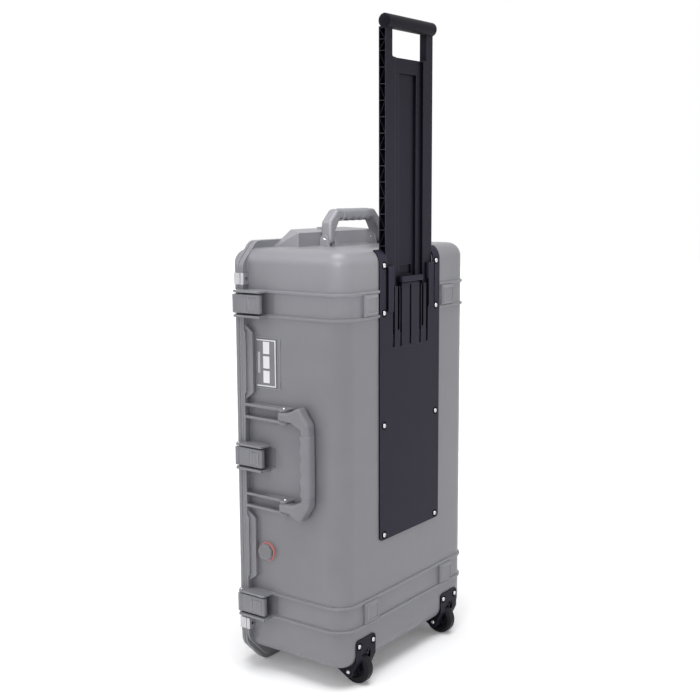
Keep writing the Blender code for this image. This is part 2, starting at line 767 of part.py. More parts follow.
def lid_shell():
    """Shallow lid with its rim, latch lugs and hinge knuckles."""
    half = HALF_WIDTH - LID_INSET
    low = BODY_LIFT + LID_INSET
    high = BODY_TOP - LID_INSET
    hinge = axis_at("lid_hinge_axis", (HINGE_X, BASE_DEPTH, 0))
    inside_rim = LID_START + LID_RIM_DEPTH / 2
    shell = part("lid_shell", crowned_box(half, low, high, inside_rim, LID_END, LID_ROUND, LID_ROUND),
                 moulded_grey(), hinge)
    add(shell, "lid_rim", rim_slab(RIM_HALF, BODY_LIFT - LID_RIM_DROP, BODY_TOP + RIM_REACH,
                                   LID_START, LID_RIM_END))
    add(shell, "lid_guards", guard_ribs(LID_START + FIT, LID_RIM_END - FIT))
    span = (-KNUCKLE_LENGTH / 2, KNUCKLE_LENGTH / 2)
    add(shell, "lid_knuckles", knuckles([span], 1, LID_START + FIT))
    cut(shell, "lid_cavity", crowned_box(
        half - LID_WALL, low + LID_WALL, high - LID_WALL, LID_START - PAST, LID_END - LID_WALL,
        LID_ROUND - LID_WALL, LID_ROUND - LID_WALL))
    cut(shell, "lid_hinge_bores", hinge_bores())
    cut(shell, "lid_lock_holes", lock_holes(BASE_DEPTH - PAST, LID_RIM_END + PAST))
    bars = [cylinder("z", LATCH_PIN_RADIUS + FIT, height - GUARD_PITCH, height + GUARD_PITCH,
                     (-LATCH_X, LATCH_Y), COARSE) for height in LATCH_HEIGHTS.values()]
    cut(shell, "latch_pin_bores", joined(bars))
    ring, hole = gasket_ring(FIT, LID_START - PAST, GASKET_DEPTH + FIT)
    channel = helper("gasket_groove", ring)
    cut(channel, "groove_island", hole)
    combine(shell, channel, "DIFFERENCE")
    ring, hole = gasket_ring(0, LID_START, GASKET_DEPTH)
    gasket = part("lid_gasket", ring, material("gasket_rubber", (0.03, 0.03, 0.03), 0.8), hinge)
    cut(gasket, "gasket_island", hole)


def hinge_pins():
    """Steel pins of the lid hinges."""
    reach = KNUCKLE_LENGTH / 2 + RUN + KNUCKLE_LENGTH + HINGE_PIN_STUB
    for name, height in LATCH_HEIGHTS.items():
        bar = cylinder("z", HINGE_PIN_RADIUS, height - reach, height + reach, (HINGE_X, BASE_DEPTH), COARSE)
        part(f"hinge_pin_{name}", bar, bright_steel())


def trolley_cover():
    """Panel over the trolley channel, wrapping the case's top edge on both sides of the handle."""
    centre = (END_ROUND, BODY_TOP - END_ROUND)
    outer = arc(centre, END_ROUND - COVER_FACE, 180, 90)
    inner = arc(centre, END_ROUND + FIT, 90, 180)
    section = [(COVER_FACE, COVER_LOW)] + outer + inner + [(-FIT, COVER_LOW)]
    half = COVER_WIDTH / 2
    panel = outline(section, "x", -half, half)
    rounded(panel, along_at(1, 2, COVER_LOW), COVER_ROUND, 4)
    cover = part("trolley_cover", panel, trolley_black())
    rails = []
    for side in SIDES.values():
        ends = sorted((side * (NOTCH_HALF + RAIL_MARGIN), side * (PLATE_WIDTH / 2 - RAIL_MARGIN)))
        rail = box((ends[0], COVER_FACE - RAIL_PROUD, RAIL_TOP - RAIL_LENGTH),
                   (ends[1], -FIT - COVER_THICK / 2, RAIL_TOP))
        rails.append(rounded(rail, along_at(0, 1, COVER_FACE - RAIL_PROUD), RAIL_ROUND, 2))
    add(cover, "rails", joined(rails))
    cut(cover, "handle_gate", box((-CHANNEL_HALF, -PAST, RAIL_TOP),
                                  (CHANNEL_HALF, END_ROUND + PAST, BODY_TOP + PAST)))
    cut(cover, "notch", box((-NOTCH_HALF, -PAST, NOTCH_LOW), (NOTCH_HALF, PAST, BODY_TOP)))
    slot = CATCH_WIDTH / 2 + CATCH_SLIT
    cut(cover, "catch_slot", box((-slot, -PAST, CATCH_LOW - FIT), (slot, PAST, BODY_TOP)))
    grooves = []
    for side in SIDES.values():
        grooves.append(groove(side * NOTCH_HALF, BODY_TOP - LONG_GROOVE_DROP, NOTCH_LOW - RAIL_MARGIN))
        grooves.append(groove(side * SHORT_GROOVE_X, BODY_TOP - SHORT_GROOVE_DROP, NOTCH_LOW + PAST))
        grooves.append(groove(side * PLATE_WIDTH / 2, RAIL_TOP - RAIL_LENGTH, RAIL_TOP - RAIL_MARGIN))
    cut(cover, "grooves", joined(grooves))
    names = [name for name in screw_spots() if name.startswith("cover")]
    cut(cover, "cover_holes", screw_holes(names, -PAST, PAST))


def groove(x, low, high):
    """Narrow upright groove in the cover's face."""
    return box((x - GROOVE_WIDTH / 2, -PAST, low), (x + GROOVE_WIDTH / 2, COVER_FACE + GROOVE_DEPTH, high))


def trolley_catch():
    """Sprung tongue with the lip that is pulled to let the handle go."""
    half = CATCH_WIDTH / 2
    hinge = axis_at("catch_axis", (0, COVER_FACE / 2, CATCH_LOW))
    lip_low = LIP_TOP - LIP_HEIGHT
    tongue = part("trolley_catch", box((-half, COVER_FACE, CATCH_LOW), (half, -FIT, LIP_TOP)),
                  trolley_black(), hinge)
    lip = box((-LIP_WIDTH / 2, COVER_FACE - LIP_PROUD, lip_low),
              (LIP_WIDTH / 2, COVER_FACE + COVER_THICK / 2, LIP_TOP))
    rounded(lip, along_at(0, 1, COVER_FACE - LIP_PROUD), LIP_PROUD / 2, 2)
    add(tongue, "catch_lip", lip)
    cut(tongue, "catch_groove", groove(0, CATCH_LOW + LIP_HEIGHT, lip_low - FIT))


def truss_heights():
    """Heights of the ribs across the trolley plate's edges, from the grip down."""
    heights = [PLATE_TOP - GRIP_SEAT - i * TRUSS_TOP_PITCH for i in range(TRUSS_TOP_CELLS + 1)]
    while heights[-1] - TRUSS_PITCH > PLATE_LOW:
        heights.append(heights[-1] - TRUSS_PITCH)
    return heights


def truss_pockets(side):
    """Triangular pockets between the ribs on one edge of the trolley plate, leaning to and fro."""
    walls = (PLATE_SET + TRUSS_SKIN, PLATE_BACK - TRUSS_SKIN)
    edge = side * PLATE_WIDTH / 2
    ends = sorted((edge + side * PAST, edge - side * TRUSS_DEPTH))
    heights = truss_heights()
    pockets = []
    for i in range(len(heights) - 1):
        low = heights[i + 1] + TRUSS_RIB / 2
        high = heights[i] - TRUSS_RIB / 2
        near, far = reversed(walls) if i % 2 else walls
        first = [(near, low + TRUSS_RIB), (far, high), (near, high)]
        second = [(near, low), (far, low), (far, high - TRUSS_RIB)]
        pockets.append(outline(first, "x", *ends))
        pockets.append(outline(second, "x", *ends))
    return joined(pockets)


def trolley_plate():
    """Sliding handle plate with its window, face recesses and ribbed edges."""
    half = PLATE_WIDTH / 2
    plate = part("trolley_plate", box((-half, PLATE_SET, PLATE_LOW), (half, PLATE_BACK, PLATE_TOP)),
                 trolley_black())
    window_low = PLATE_TOP - GRIP_SEAT - WINDOW_HEIGHT
    cut(plate, "window", box((-WINDOW_WIDTH / 2, -PAST, window_low),
                             (WINDOW_WIDTH / 2, PLATE_BACK + PAST, PLATE_TOP + PAST)))
    recess_top = window_low - RECESS_GAP
    cut(plate, "recess", box((-RECESS_WIDTH / 2, -PAST, PLATE_LOW - PAST),
                             (RECESS_WIDTH / 2, PLATE_SET + RECESS_DEPTH, recess_top)))
    cut(plate, "slot", box((-SLOT_WIDTH / 2, -PAST, PLATE_LOW - PAST),
                           (SLOT_WIDTH / 2, PLATE_SET + SLOT_DEPTH, window_low - SLOT_GAP)))
    hole_low = LIP_TOP + RAIL_MARGIN
    cut(plate, "catch_hole", box((-CATCH_HOLE_WIDTH / 2, -PAST, hole_low),
                                 (CATCH_HOLE_WIDTH / 2, PLATE_BACK + PAST, hole_low + CATCH_HOLE_HEIGHT)))
    for name, side in SIDES.items():
        cut(plate, f"truss_{name}", truss_pockets(side))


def trolley_grip():
    """Round grip bar with domed ends, seated on the plate's two stiles."""
    half = GRIP_LENGTH / 2
    dome = [(GRIP_RADIUS * math.sin(math.radians(a)),
             half - GRIP_DOME + GRIP_DOME * math.cos(math.radians(a))) for a in range(0, 91, 18)]
    profile = dome + [(r, -h) for r, h in reversed(dome)]
    middle = PLATE_TOP - GRIP_SEAT + GRIP_RADIUS
    place = Vector((0, PLATE_SET + PLATE_THICK / 2, middle))
    grip = turned("trolley_grip", profile, material("grip_black", (0.02, 0.02, 0.022), 0.6), place,
                  Matrix.Rotation(math.pi / 2, 4, "Y"))
    seats = []
    for side in SIDES.values():
        ends = sorted((side * (WINDOW_WIDTH / 2 - FIT), side * (PLATE_WIDTH / 2 + FIT)))
        seats.append(box((ends[0], PLATE_SET - FIT, middle - 2 * GRIP_RADIUS),
                         (ends[1], PLATE_BACK + FIT, PLATE_TOP + FIT)))
    cut(grip, "grip_seats", joined(seats))


def screws():
    """Pan-head screws of the cover and the wheel brackets."""
    dome = [(HEAD_RADIUS * math.sin(math.radians(a)), HEAD_HEIGHT * math.cos(math.radians(a)))
            for a in (0, 40, 70, 90)]
    length = COVER_THICK + SHANK_BITE
    profile = dome + [(SHANK_RADIUS, 0), (SHANK_RADIUS, -length), (0, -length)]
    for name, (x, height) in screw_spots().items():
        turned(name, profile, bright_steel(), (x, COVER_FACE - FIT, height),
               Matrix.Rotation(math.pi / 2, 4, "X"), COARSE)


def bracket_section():
    """Side outline of a wheel bracket: it hugs the case's lower edge and reaches down to the axle."""
    centre = (END_ROUND, BODY_LIFT + END_ROUND)
    inner = [(-FIT, BRACKET_TOP)] + arc(centre, END_ROUND + FIT, 180, 270)
    inner.append((BRACKET_REACH, BODY_LIFT - FIT))
    outer = [(BRACKET_REACH, BODY_LIFT - FIT - COVER_THICK)]
    outer += arc((AXLE_DEPTH, AXLE_HEIGHT), BRACKET_BOSS, -50, -190, 6)
    outer += [(COVER_FACE, BODY_LIFT + END_ROUND / 2), (COVER_FACE, BRACKET_TOP)]
    return inner + outer


def wheels():
    """Brackets, axles, hubs and tyres on both lower corners."""
    to_x = Matrix.Rotation(math.pi / 2, 4, "Y")
    for name, side in SIDES.items():
        x = side * WHEEL_X
        half = BRACKET_WIDTH / 2
        body = outline(bracket_section(), "x", x - half, x + half)
        rounded(body, along_at(1, 2, BRACKET_TOP), BRACKET_ROUND, 4)
        bracket = part(f"wheel_bracket_{name}", body, trolley_black())
        cut(bracket, f"bracket_well_{name}", well(x, WELL_RADIUS, WELL_HALF))
        cut(bracket, f"axle_bore_{name}", cylinder(
            "x", AXLE_RADIUS + FIT, x - half - PAST, x + half + PAST, (AXLE_DEPTH, AXLE_HEIGHT), MEDIUM))
        names = [spot for spot in screw_spots() if spot.startswith(f"bracket_screw_{name}")]
        cut(bracket, f"bracket_holes_{name}", screw_holes(names, -PAST, PAST))
        place = Vector((x, AXLE_DEPTH, AXLE_HEIGHT))
        part(f"axle_{name}", cylinder("x", AXLE_RADIUS, x - half - AXLE_STUB, x + half + AXLE_STUB,
                                      (AXLE_DEPTH, AXLE_HEIGHT), MEDIUM), bright_steel())
        reach = WHEEL_WIDTH / 2 + HUB_PROUD
        bore = AXLE_RADIUS + FIT
        boss = bore + HUB_BOSS_WALL
        hub = [(bore, reach), (boss, reach), (boss, WHEEL_WIDTH / 2),
               (HUB_RADIUS, WHEEL_WIDTH / 2 - HUB_PROUD)]
        hub = hub + [(r, -h) for r, h in reversed(hub)]
        turned(f"wheel_hub_{name}", hub, material("wheel_hub_black", (0.03, 0.03, 0.033), 0.45), place, to_x)
        core = HUB_RADIUS + FIT
        tread = arc((WHEEL_RADIUS - TREAD_ROUND, WHEEL_WIDTH / 2 - TREAD_ROUND), TREAD_ROUND, 90, 0, 4)
        tyre = [(core, WHEEL_WIDTH / 2 - HUB_PROUD)] + tread
        tyre = tyre + [(r, -h) for r, h in reversed(tyre)]
        turned(f"wheel_tyre_{name}", tyre, material("tyre_black", (0.02, 0.02, 0.022), 0.7), place, to_x)


def carrying_handle(name, place, axes, pivot_half, shoulder_half, grip_half, reach, shoulder_up):
    """Folding handle: a stirrup frame, a rubber sleeve with finger waves and a pin in each leg.

    It is drawn with its pins along x and its grip up z, and set down by a placing matrix.
    """
    seat = Matrix.Translation(place) @ axes
    inner_pivot = pivot_half - LEG_WIDTH
    inner_grip = grip_half - LEG_WIDTH / 2
    under = reach - BAR_DEPTH
    clear_of_ears = math.hypot(EAR_FRONT, EAR_BACK) + RUN
    right = [(pivot_half, -EYE_REACH), (pivot_half, clear_of_ears), (shoulder_half, shoulder_up),
             (grip_half, reach)]
    inside = [(inner_grip, under), (inner_pivot, shoulder_up - BAR_DEPTH), (inner_pivot, -EYE_REACH)]
    left = [(-x, z) for x, z in reversed(right)]
    back = [(-x, z) for x, z in reversed(inside)]
    frame_shape = outline(right + left + back + inside, "y", -BAR_THICK / 2, BAR_THICK / 2)
    rounded(frame_shape, along_at(0, 2, -EYE_REACH), EYE_REACH - RUN, 3)
    frame = part(f"{name}_frame", frame_shape, moulded_grey())
    frame.matrix_local = seat
    low, high = pin_span(pivot_half)
    bores = [cylinder("x", PIN_RADIUS + FIT, *sorted((side * low, side * high)), (0, 0), COARSE)
             for side in (-1, 1)]
    cut(frame, f"{name}_leg_bores", joined(bores))
    bpy.data.objects[f"{name}_leg_bores"].matrix_local = seat
    grow = FIT + SLEEVE
    sleeve_half = inner_grip - BAR_DEPTH / 2
    sleeve_low = under - grow - WAVE_DEPTH
    sleeve_shape = box((-sleeve_half, -BAR_THICK / 2 - grow, sleeve_low),
                       (sleeve_half, BAR_THICK / 2 + grow, reach + grow))
    rounded(sleeve_shape, along(0), SLEEVE, 2)
    sleeve = part(f"{name}_grip", sleeve_shape, rubber_grey())
    sleeve.matrix_local = seat
    cut(sleeve, f"{name}_grip_bore", box((-sleeve_half - PAST, -BAR_THICK / 2 - FIT, under - FIT),
                                         (sleeve_half + PAST, BAR_THICK / 2 + FIT, reach + FIT)))
    pitch = 2 * sleeve_half / WAVE_COUNT
    wave_radius = (pitch * pitch / 4 + WAVE_DEPTH * WAVE_DEPTH) / (2 * WAVE_DEPTH)
    waves = []
    for i in range(WAVE_COUNT):
        middle = -sleeve_half + pitch / 2 + pitch * i
        wave = cylinder("y", wave_radius, -BAR_THICK, BAR_THICK,
                        (middle, sleeve_low + WAVE_DEPTH * WAVE_SHARE - wave_radius), WAVE_STEPS)
        bmesh.ops.bisect_plane(wave, geom=wave.verts[:] + wave.edges[:] + wave.faces[:],
                               plane_co=(0, 0, sleeve_low - PAST), plane_no=(0, 0, -1), clear_outer=True)
        bmesh.ops.holes_fill(wave, edges=[edge for edge in wave.edges if edge.is_boundary])
        half_pitch = pitch / 2 - FIT
        for side in (-1, 1):
            bmesh.ops.bisect_plane(wave, geom=wave.verts[:] + wave.edges[:] + wave.faces[:],
                                   plane_co=(middle + side * half_pitch, 0, 0), plane_no=(side, 0, 0),
                                   clear_outer=True)
            bmesh.ops.holes_fill(wave, edges=[edge for edge in wave.edges if edge.is_boundary])
        waves.append(wave)
    cut(sleeve, f"{name}_waves", joined(waves))
    for cutter in (f"{name}_grip_bore", f"{name}_waves"):
        bpy.data.objects[cutter].matrix_local = seat
    for side_name, side in (("first", -1), ("second", 1)):
        pin = part(f"{name}_pin_{side_name}", cylinder(
            "x", PIN_RADIUS, *sorted((side * low, side * high)), (0, 0), COARSE), bright_steel())
        pin.matrix_local = seat


def handles():
    """Front handle folded flat, and top handle standing up."""
    flat = Matrix(((0, -1, 0, 0), (0, 0, -1, 0), (1, 0, 0, 0), (0, 0, 0, 1)))
    carrying_handle("front_handle", FRONT_PIVOT, flat, FRONT_PIVOT_HALF, FRONT_SHOULDER_HALF,
                    FRONT_GRIP_HALF, FRONT_REACH, FRONT_SHOULDER_UP)
    carrying_handle("top_handle", TOP_PIVOT, Matrix.Identity(4), TOP_PIVOT_HALF, TOP_SHOULDER_HALF,
                    TOP_GRIP_HALF, TOP_REACH, TOP_SHOULDER_UP)


def lever_section():
    """Side outline of a latch lever: a barrel about its pin and a flat arm with a rounded tip."""
    outer = LATCH_IN + LATCH_THICK
    leaves = math.degrees(math.acos((LATCH_X - outer) / BARREL_RADIUS))
    tip = LATCH_Y - LATCH_LENGTH + LATCH_ROUND
    section = arc((-LATCH_X, LATCH_Y), BARREL_RADIUS, 0, 360 - leaves, KNUCKLE_STEPS)
    section += arc((-outer + LATCH_ROUND, tip), LATCH_ROUND, 180, 270)
    section += arc((-LATCH_IN - LATCH_ROUND, tip), LATCH_ROUND, 270, 360)
    return section


def latches():
    """Latch levers hung on the lid, each with a pin and a press button."""
    outer = LATCH_IN + LATCH_THICK
    half = LATCH_WIDTH / 2
    for name, height in LATCH_HEIGHTS.items():
        hinge = axis_at(f"latch_axis_{name}", (-LATCH_X, LATCH_Y, height))
        lever = part(f"latch_lever_{name}", outline(lever_section(), "z", height - half, height + half),
                     moulded_grey(), hinge)
        cut(lever, f"latch_bore_{name}", cylinder(
            "z", LATCH_PIN_RADIUS + FIT, height - LATCH_WIDTH, height + LATCH_WIDTH,
            (-LATCH_X, LATCH_Y), COARSE))
        middle = LATCH_Y - BUTTON_OFFSET
        wide = BUTTON_WIDTH / 2
        tall = BUTTON_LENGTH / 2
        floor = outer - BUTTON_BURIED - BUTTON_TRAVEL - RUN
        cut(lever, f"button_pocket_{name}", box(
            (-outer - PAST, middle - tall - FIT, height - wide - FIT),
            (-floor, middle + tall + FIT, height + wide + FIT)))
        button = box((-outer - BUTTON_PROUD, middle - tall, height - wide),
                     (-outer + BUTTON_BURIED, middle + tall, height + wide))
        lies = at(0, -outer - BUTTON_PROUD)
        rounded(button, lambda a, b: lies(a) and lies(b), BUTTON_BEVEL, 1)
        part(f"latch_button_{name}", button, moulded_grey(), hinge)
        reach = GUARD_PITCH / 2 + GUARD_THICK / 2 + PIN_STUB / 2
        part(f"latch_pin_{name}", cylinder(
            "z", LATCH_PIN_RADIUS, height - reach, height + reach, (-LATCH_X, LATCH_Y), COARSE),
            bright_steel(), hinge)


def lock_plates():
    """Folded steel plates that armour the padlock holes on both rims."""
    near = RIM_HALF + FIT
    far = near + LOCK_SHEET
    foot = HALF_WIDTH + FIT
    base_low = RIM_FACE - FIT - LOCK_SHEET
    base = [(-far, base_low), (-foot, base_low), (-foot, RIM_FACE - FIT), (-near, RIM_FACE - FIT),
            (-near, BASE_DEPTH - FIT), (-far, BASE_DEPTH - FIT)]
    lid_high = LID_RIM_END + FIT + LOCK_SHEET
    lid = [(-far, LID_START + FIT), (-near, LID_START + FIT), (-near, LID_RIM_END + FIT),
           (-foot, LID_RIM_END + FIT), (-foot, lid_high), (-far, lid_high)]
    for name, height in LOCK_HEIGHTS.items():
        for owner, points in (("base", base), ("lid", lid)):
            sheet = outline(points, "z", height - LOCK_HEIGHT / 2, height + LOCK_HEIGHT / 2)
            plate = part(f"lock_plate_{owner}_{name}", sheet, bright_steel())
            cut(plate, f"lock_hole_{owner}_{name}", cylinder(
                "y", LOCK_HOLE_RADIUS, base_low - PAST, lid_high + PAST, (-LOCK_HOLE_X, height), COARSE))


def label_card():
    """Blank card in its moulded border."""
    low, high = label_span(0)
    part("label_card", box((-HALF_WIDTH - FIT - LABEL_THICK, low[0], low[1]),
                           (-HALF_WIDTH - FIT, high[0], high[1])),
         material("label_card", (0.05, 0.05, 0.055), 0.5))


def purge_valve():
    """Pressure valve: a cap with a stem through the wall, on a coloured ring."""
    place = Vector((-HALF_WIDTH - FIT, VALVE_DEPTH, MIDDLE - VALVE_DROP))
    outward = Matrix.Rotation(-math.pi / 2, 4, "Y")
    bore = VALVE_STEM_RADIUS + FIT
    ring = [(bore, VALVE_RING_THICK), (VALVE_RING_RADIUS - FIT, VALVE_RING_THICK),
            (VALVE_RING_RADIUS, 0), (bore, 0)]
    turned("valve_ring", ring, material("valve_red", (0.45, 0.03, 0.02), 0.45), place, outward)
    low = VALVE_RING_THICK + FIT
    top = low + VALVE_CAP_HEIGHT
    cap = [(0, top), (VALVE_CAP_RADIUS - VALVE_CAP_BEVEL, top), (VALVE_CAP_RADIUS, top - VALVE_CAP_BEVEL),
           (VALVE_CAP_RADIUS, low), (VALVE_STEM_RADIUS, low), (VALVE_STEM_RADIUS, -WALL), (0, -WALL)]
    turned("valve_cap", cap, material("valve_dark", (0.06, 0.06, 0.065), 0.5), place, outward)


base_shell()
lid_shell()
hinge_pins()
trolley_cover()
trolley_catch()
trolley_plate()
trolley_grip()
screws()
wheels()
handles()
latches()
lock_plates()
label_card()
purge_valve()
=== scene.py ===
# %% [markdown]
# # Rolling flight case
# A tall hard case stands on two wheels with its trolley handle drawn out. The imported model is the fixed
# frame: every piece below is drawn where that model says it is, and rides on the same bodies.

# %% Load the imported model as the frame
import math

import bmesh
import bpy
from mathutils import Matrix, Vector


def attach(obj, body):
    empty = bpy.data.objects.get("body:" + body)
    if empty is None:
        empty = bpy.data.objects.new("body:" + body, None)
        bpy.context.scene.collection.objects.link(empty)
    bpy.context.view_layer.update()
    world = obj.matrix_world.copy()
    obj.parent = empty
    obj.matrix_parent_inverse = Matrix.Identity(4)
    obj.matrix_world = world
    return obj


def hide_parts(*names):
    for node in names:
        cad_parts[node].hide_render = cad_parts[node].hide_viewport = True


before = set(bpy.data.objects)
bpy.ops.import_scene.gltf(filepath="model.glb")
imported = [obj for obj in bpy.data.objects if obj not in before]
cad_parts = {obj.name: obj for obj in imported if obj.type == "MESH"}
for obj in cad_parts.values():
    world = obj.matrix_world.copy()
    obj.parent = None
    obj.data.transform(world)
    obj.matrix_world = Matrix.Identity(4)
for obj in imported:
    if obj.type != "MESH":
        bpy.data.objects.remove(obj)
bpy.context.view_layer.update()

# %% [markdown]
# ## Sizes
# The case is measured as its maker would draw it: heights from the floor, depths from the trolley face,
# and widths from the middle. One shift then brings each piece to the frame's origin.

# %% Sizes that several pieces share, in metres
CENTRE_DEPTH = 0.12825
FIT = 0.0003
RUN = 0.0006
PAST = 0.010
HALF_WIDTH = 0.218
BODY_LOW = 0.040
BODY_TOP = 0.828
MIDDLE = (BODY_LOW + BODY_TOP) / 2
BASE_DEPTH = 0.226
WALL = 0.006
RIM_HALF = 0.232
RIM_FACE = 0.2195
LID_START = BASE_DEPTH + FIT
LID_RIM_END = 0.240
LID_END = 0.270
BANDS = (0.1415, 0.7265)
LATCHES = {"lower": BANDS[0], "middle": MIDDLE, "upper": BANDS[1]}
SIDES = {"left": -1, "right": 1}
SHARP_EDGE = math.radians(25)
SHARP_SHADE = math.radians(32)
SMALL = 1e-6
print(f"body {2 * HALF_WIDTH:.3f} x {BODY_TOP - BODY_LOW:.3f} m, middle at {MIDDLE:.3f} m")

# %% [markdown]
# ## Shapes
# Moulded and pressed parts are mostly flat outlines with a thickness, turned rounds, and boxes with soft
# edges. A few small functions draw these as closed meshes. Booleans then fuse ribs and cut pockets, as a
# mould would form them in one shot.

# %% Flat outlines and closed solids
def arc(centre, radius, start, end, steps=8):
    """Points on an arc, angles in degrees."""
    angles = [math.radians(start + (end - start) * i / steps) for i in range(steps + 1)]
    return [(centre[0] + radius * math.cos(a), centre[1] + radius * math.sin(a)) for a in angles]


def rounded_rect(low, high, radii, steps=8):
    """Points round a rectangle, with its corner radii from the low corner anticlockwise."""
    (u0, v0), (u1, v1) = low, high
    a, b, c, d = radii if isinstance(radii, tuple) else (radii,) * 4
    return (arc((u0 + a, v0 + a), a, 180, 270, steps) + arc((u1 - b, v0 + b), b, 270, 360, steps)
            + arc((u1 - c, v1 - c), c, 0, 90, steps) + arc((u0 + d, v1 - d), d, 90, 180, steps))


def across(axis, height, points):
    """Flat points set at a height on an axis: (y, z) across x, (x, z) across y, (x, y) across z."""
    index = "xyz".index(axis)
    return [(*point[:index], height, *point[index:]) for point in points]


def loft(loops, wrap=False):
    """Skin over loops that have as many points each. Wrapped, it is a ring; else its ends are capped."""
    bm = bmesh.new()
    rows = [[bm.verts.new(point) for point in loop] for loop in loops]
    for a, b in zip(rows, rows[1:] + rows[:1] if wrap else rows[1:]):
        for i in range(len(a)):
            bm.faces.new((a[i - 1], a[i], b[i], b[i - 1]))
    if not wrap:
        bm.faces.new(rows[0])
        bm.faces.new(rows[-1])
    bmesh.ops.remove_doubles(bm, verts=bm.verts, dist=SMALL)
    bmesh.ops.dissolve_degenerate(bm, edges=bm.edges, dist=SMALL)
    bmesh.ops.recalc_face_normals(bm, faces=bm.faces)
    return bm


def soften(bm, radius, steps=2, chosen=None):
    """Round the edges that the test picks by their two ends, or else every sharp edge."""
    def sharp(edge):
        return len(edge.link_faces) == 2 and edge.calc_face_angle(0) > SHARP_EDGE

    edges = [e for e in bm.edges if (chosen(e.verts[0].co, e.verts[1].co) if chosen else sharp(e))]
    bmesh.ops.bevel(bm, geom=edges, offset=radius, offset_type="OFFSET", segments=steps, profile=0.5,
                    affect="EDGES", clamp_overlap=True)
    return bm


def prism(points, axis, start, end, radius=0, steps=2):
    """Flat outline carried along an axis, with soft edges."""
    bm = loft([across(axis, start, points), across(axis, end, points)])
    return soften(bm, radius, steps) if radius else bm


def block(low, high, radius=0, steps=2):
    """Box between two corners, with soft edges."""
    points = [(low[0], low[1]), (high[0], low[1]), (high[0], high[1]), (low[0], high[1])]
    return prism(points, "z", low[2], high[2], radius, steps)


def lathe(profile, axis, place, steps=32):
    """Turned solid from (radius, height) points. A profile that leaves the axis open is a ring."""
    index = "xyz".index(axis)
    loops = []
    for radius, height in profile:
        loop = []
        for u, v in arc((0, 0), radius, 0, 360 - 360 / steps, steps - 1):
            spot = [u, v]
            spot.insert(index, height)
            loop.append(Vector(place) + Vector(spot))
        loops.append(loop)
    return loft(loops, wrap=profile[0][0] > SMALL)


def bar(axis, radius, start, end, centre, steps=24):
    """Plain round bar for cutting bores. Centre holds the two other coordinates."""
    return prism(arc(centre, radius, 0, 360 - 360 / steps, steps - 1), axis, start, end)


def joined(solids):
    """One bmesh from several that don't touch."""
    whole = bmesh.new()
    for bm in solids:
        mesh = bpy.data.meshes.new("solid")
        bm.to_mesh(mesh)
        bm.free()
        whole.from_mesh(mesh)
        bpy.data.meshes.remove(mesh)
    return whole


def new_piece(name, bm):
    """Object for a finished bmesh, moved from the case's own depth to the frame's origin."""
    bmesh.ops.recalc_face_normals(bm, faces=bm.faces)
    mesh = bpy.data.meshes.new(name)
    bm.to_mesh(mesh)
    bm.free()
    piece = bpy.data.objects.new(name, mesh)
    bpy.context.scene.collection.objects.link(piece)
    piece.location.y = -CENTRE_DEPTH
    return piece


def combine(piece, operation, *solids):
    """Fuse solids to a piece, or cut them from it, and use them up."""
    for solid in solids:
        tool = solid if isinstance(solid, bpy.types.Object) else new_piece("tool", solid)
        step = piece.modifiers.new("step", "BOOLEAN")
        step.operation = operation
        step.object = tool
        step.solver = "MANIFOLD"
        graph = bpy.context.evaluated_depsgraph_get()
        shaped = bpy.data.meshes.new_from_object(piece.evaluated_get(graph))
        worn, spent = piece.data, tool.data
        piece.modifiers.clear()
        piece.data = shaped
        bpy.data.objects.remove(tool)
        bpy.data.meshes.remove(worn)
        bpy.data.meshes.remove(spent)
    return piece


def fuse(piece, *solids):
    """Add solids to a piece."""
    return combine(piece, "UNION", *solids)


def cut(piece, *solids):
    """Take solids away from a piece."""
    return combine(piece, "DIFFERENCE", *solids)


DRESSED = []


def dress(piece, body, finish, slot, *nodes):
    """Give a piece its finish, let it ride on a body, and hide the CAD nodes that it stands for."""
    piece.data.materials.clear()
    piece.data.materials.append(finish)
    piece.data.shade_smooth()
    piece.data.set_sharp_from_angle(angle=SHARP_SHADE)
    normals = piece.modifiers.new("even_normals", "WEIGHTED_NORMAL")
    normals.keep_sharp = True
    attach(piece, body)
    if nodes:
        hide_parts(*nodes)
    DRESSED.append(piece)
    return piece

# %% [markdown]
# ## Finishes
# Nearly everything here is moulded plastic or rubber. A mould leaves a fine etched grain and the pigment
# clouds a little as it flows. Edges are painted paler, partly as wear from handling and partly as a painted
# highlight, and the grooves and hollows of the black parts get painted shade. One function makes that family,
# with its grain sized in millimetres. Steel has a tree of its own.

# %% Moulded plastics and rubbers
CLOUD_SIZE = 0.06
CLOUD_SHIFT = 0.07
EDGE_RADIUS = 0.0018
HOLLOW_SIZE = 0.018
SHADE_BLACK = "#050508"


def colour(code):
    """Linear colour from an sRGB hex code."""
    parts = [int(code[i:i + 2], 16) / 255 for i in (1, 3, 5)]
    linear = [p / 12.92 if p <= 0.04045 else ((p + 0.055) / 1.055) ** 2.4 for p in parts]
    return (*linear, 1.0)


def add_node(tree, kind, inputs=None, **settings):
    """A node with its settings, and its inputs set or linked."""
    node = tree.nodes.new(kind)
    for name, value in settings.items():
        setattr(node, name, value)
    for key, value in (inputs or {}).items():
        if isinstance(value, bpy.types.NodeSocket):
            tree.links.new(value, node.inputs[key])
        else:
            node.inputs[key].default_value = value
    return node


def new_finish(name):
    """Empty node material: its tree, its shader and its object coordinates."""
    finish = bpy.data.materials.new(name)
    finish.use_nodes = True
    tree = finish.node_tree
    coords = add_node(tree, "ShaderNodeTexCoord").outputs["Object"]
    return finish, tree, tree.nodes["Principled BSDF"], coords


def shifted(shade, share):
    """A colour made lighter or darker by a share."""
    return (*[channel * (1 + share) for channel in shade[:3]], 1.0)


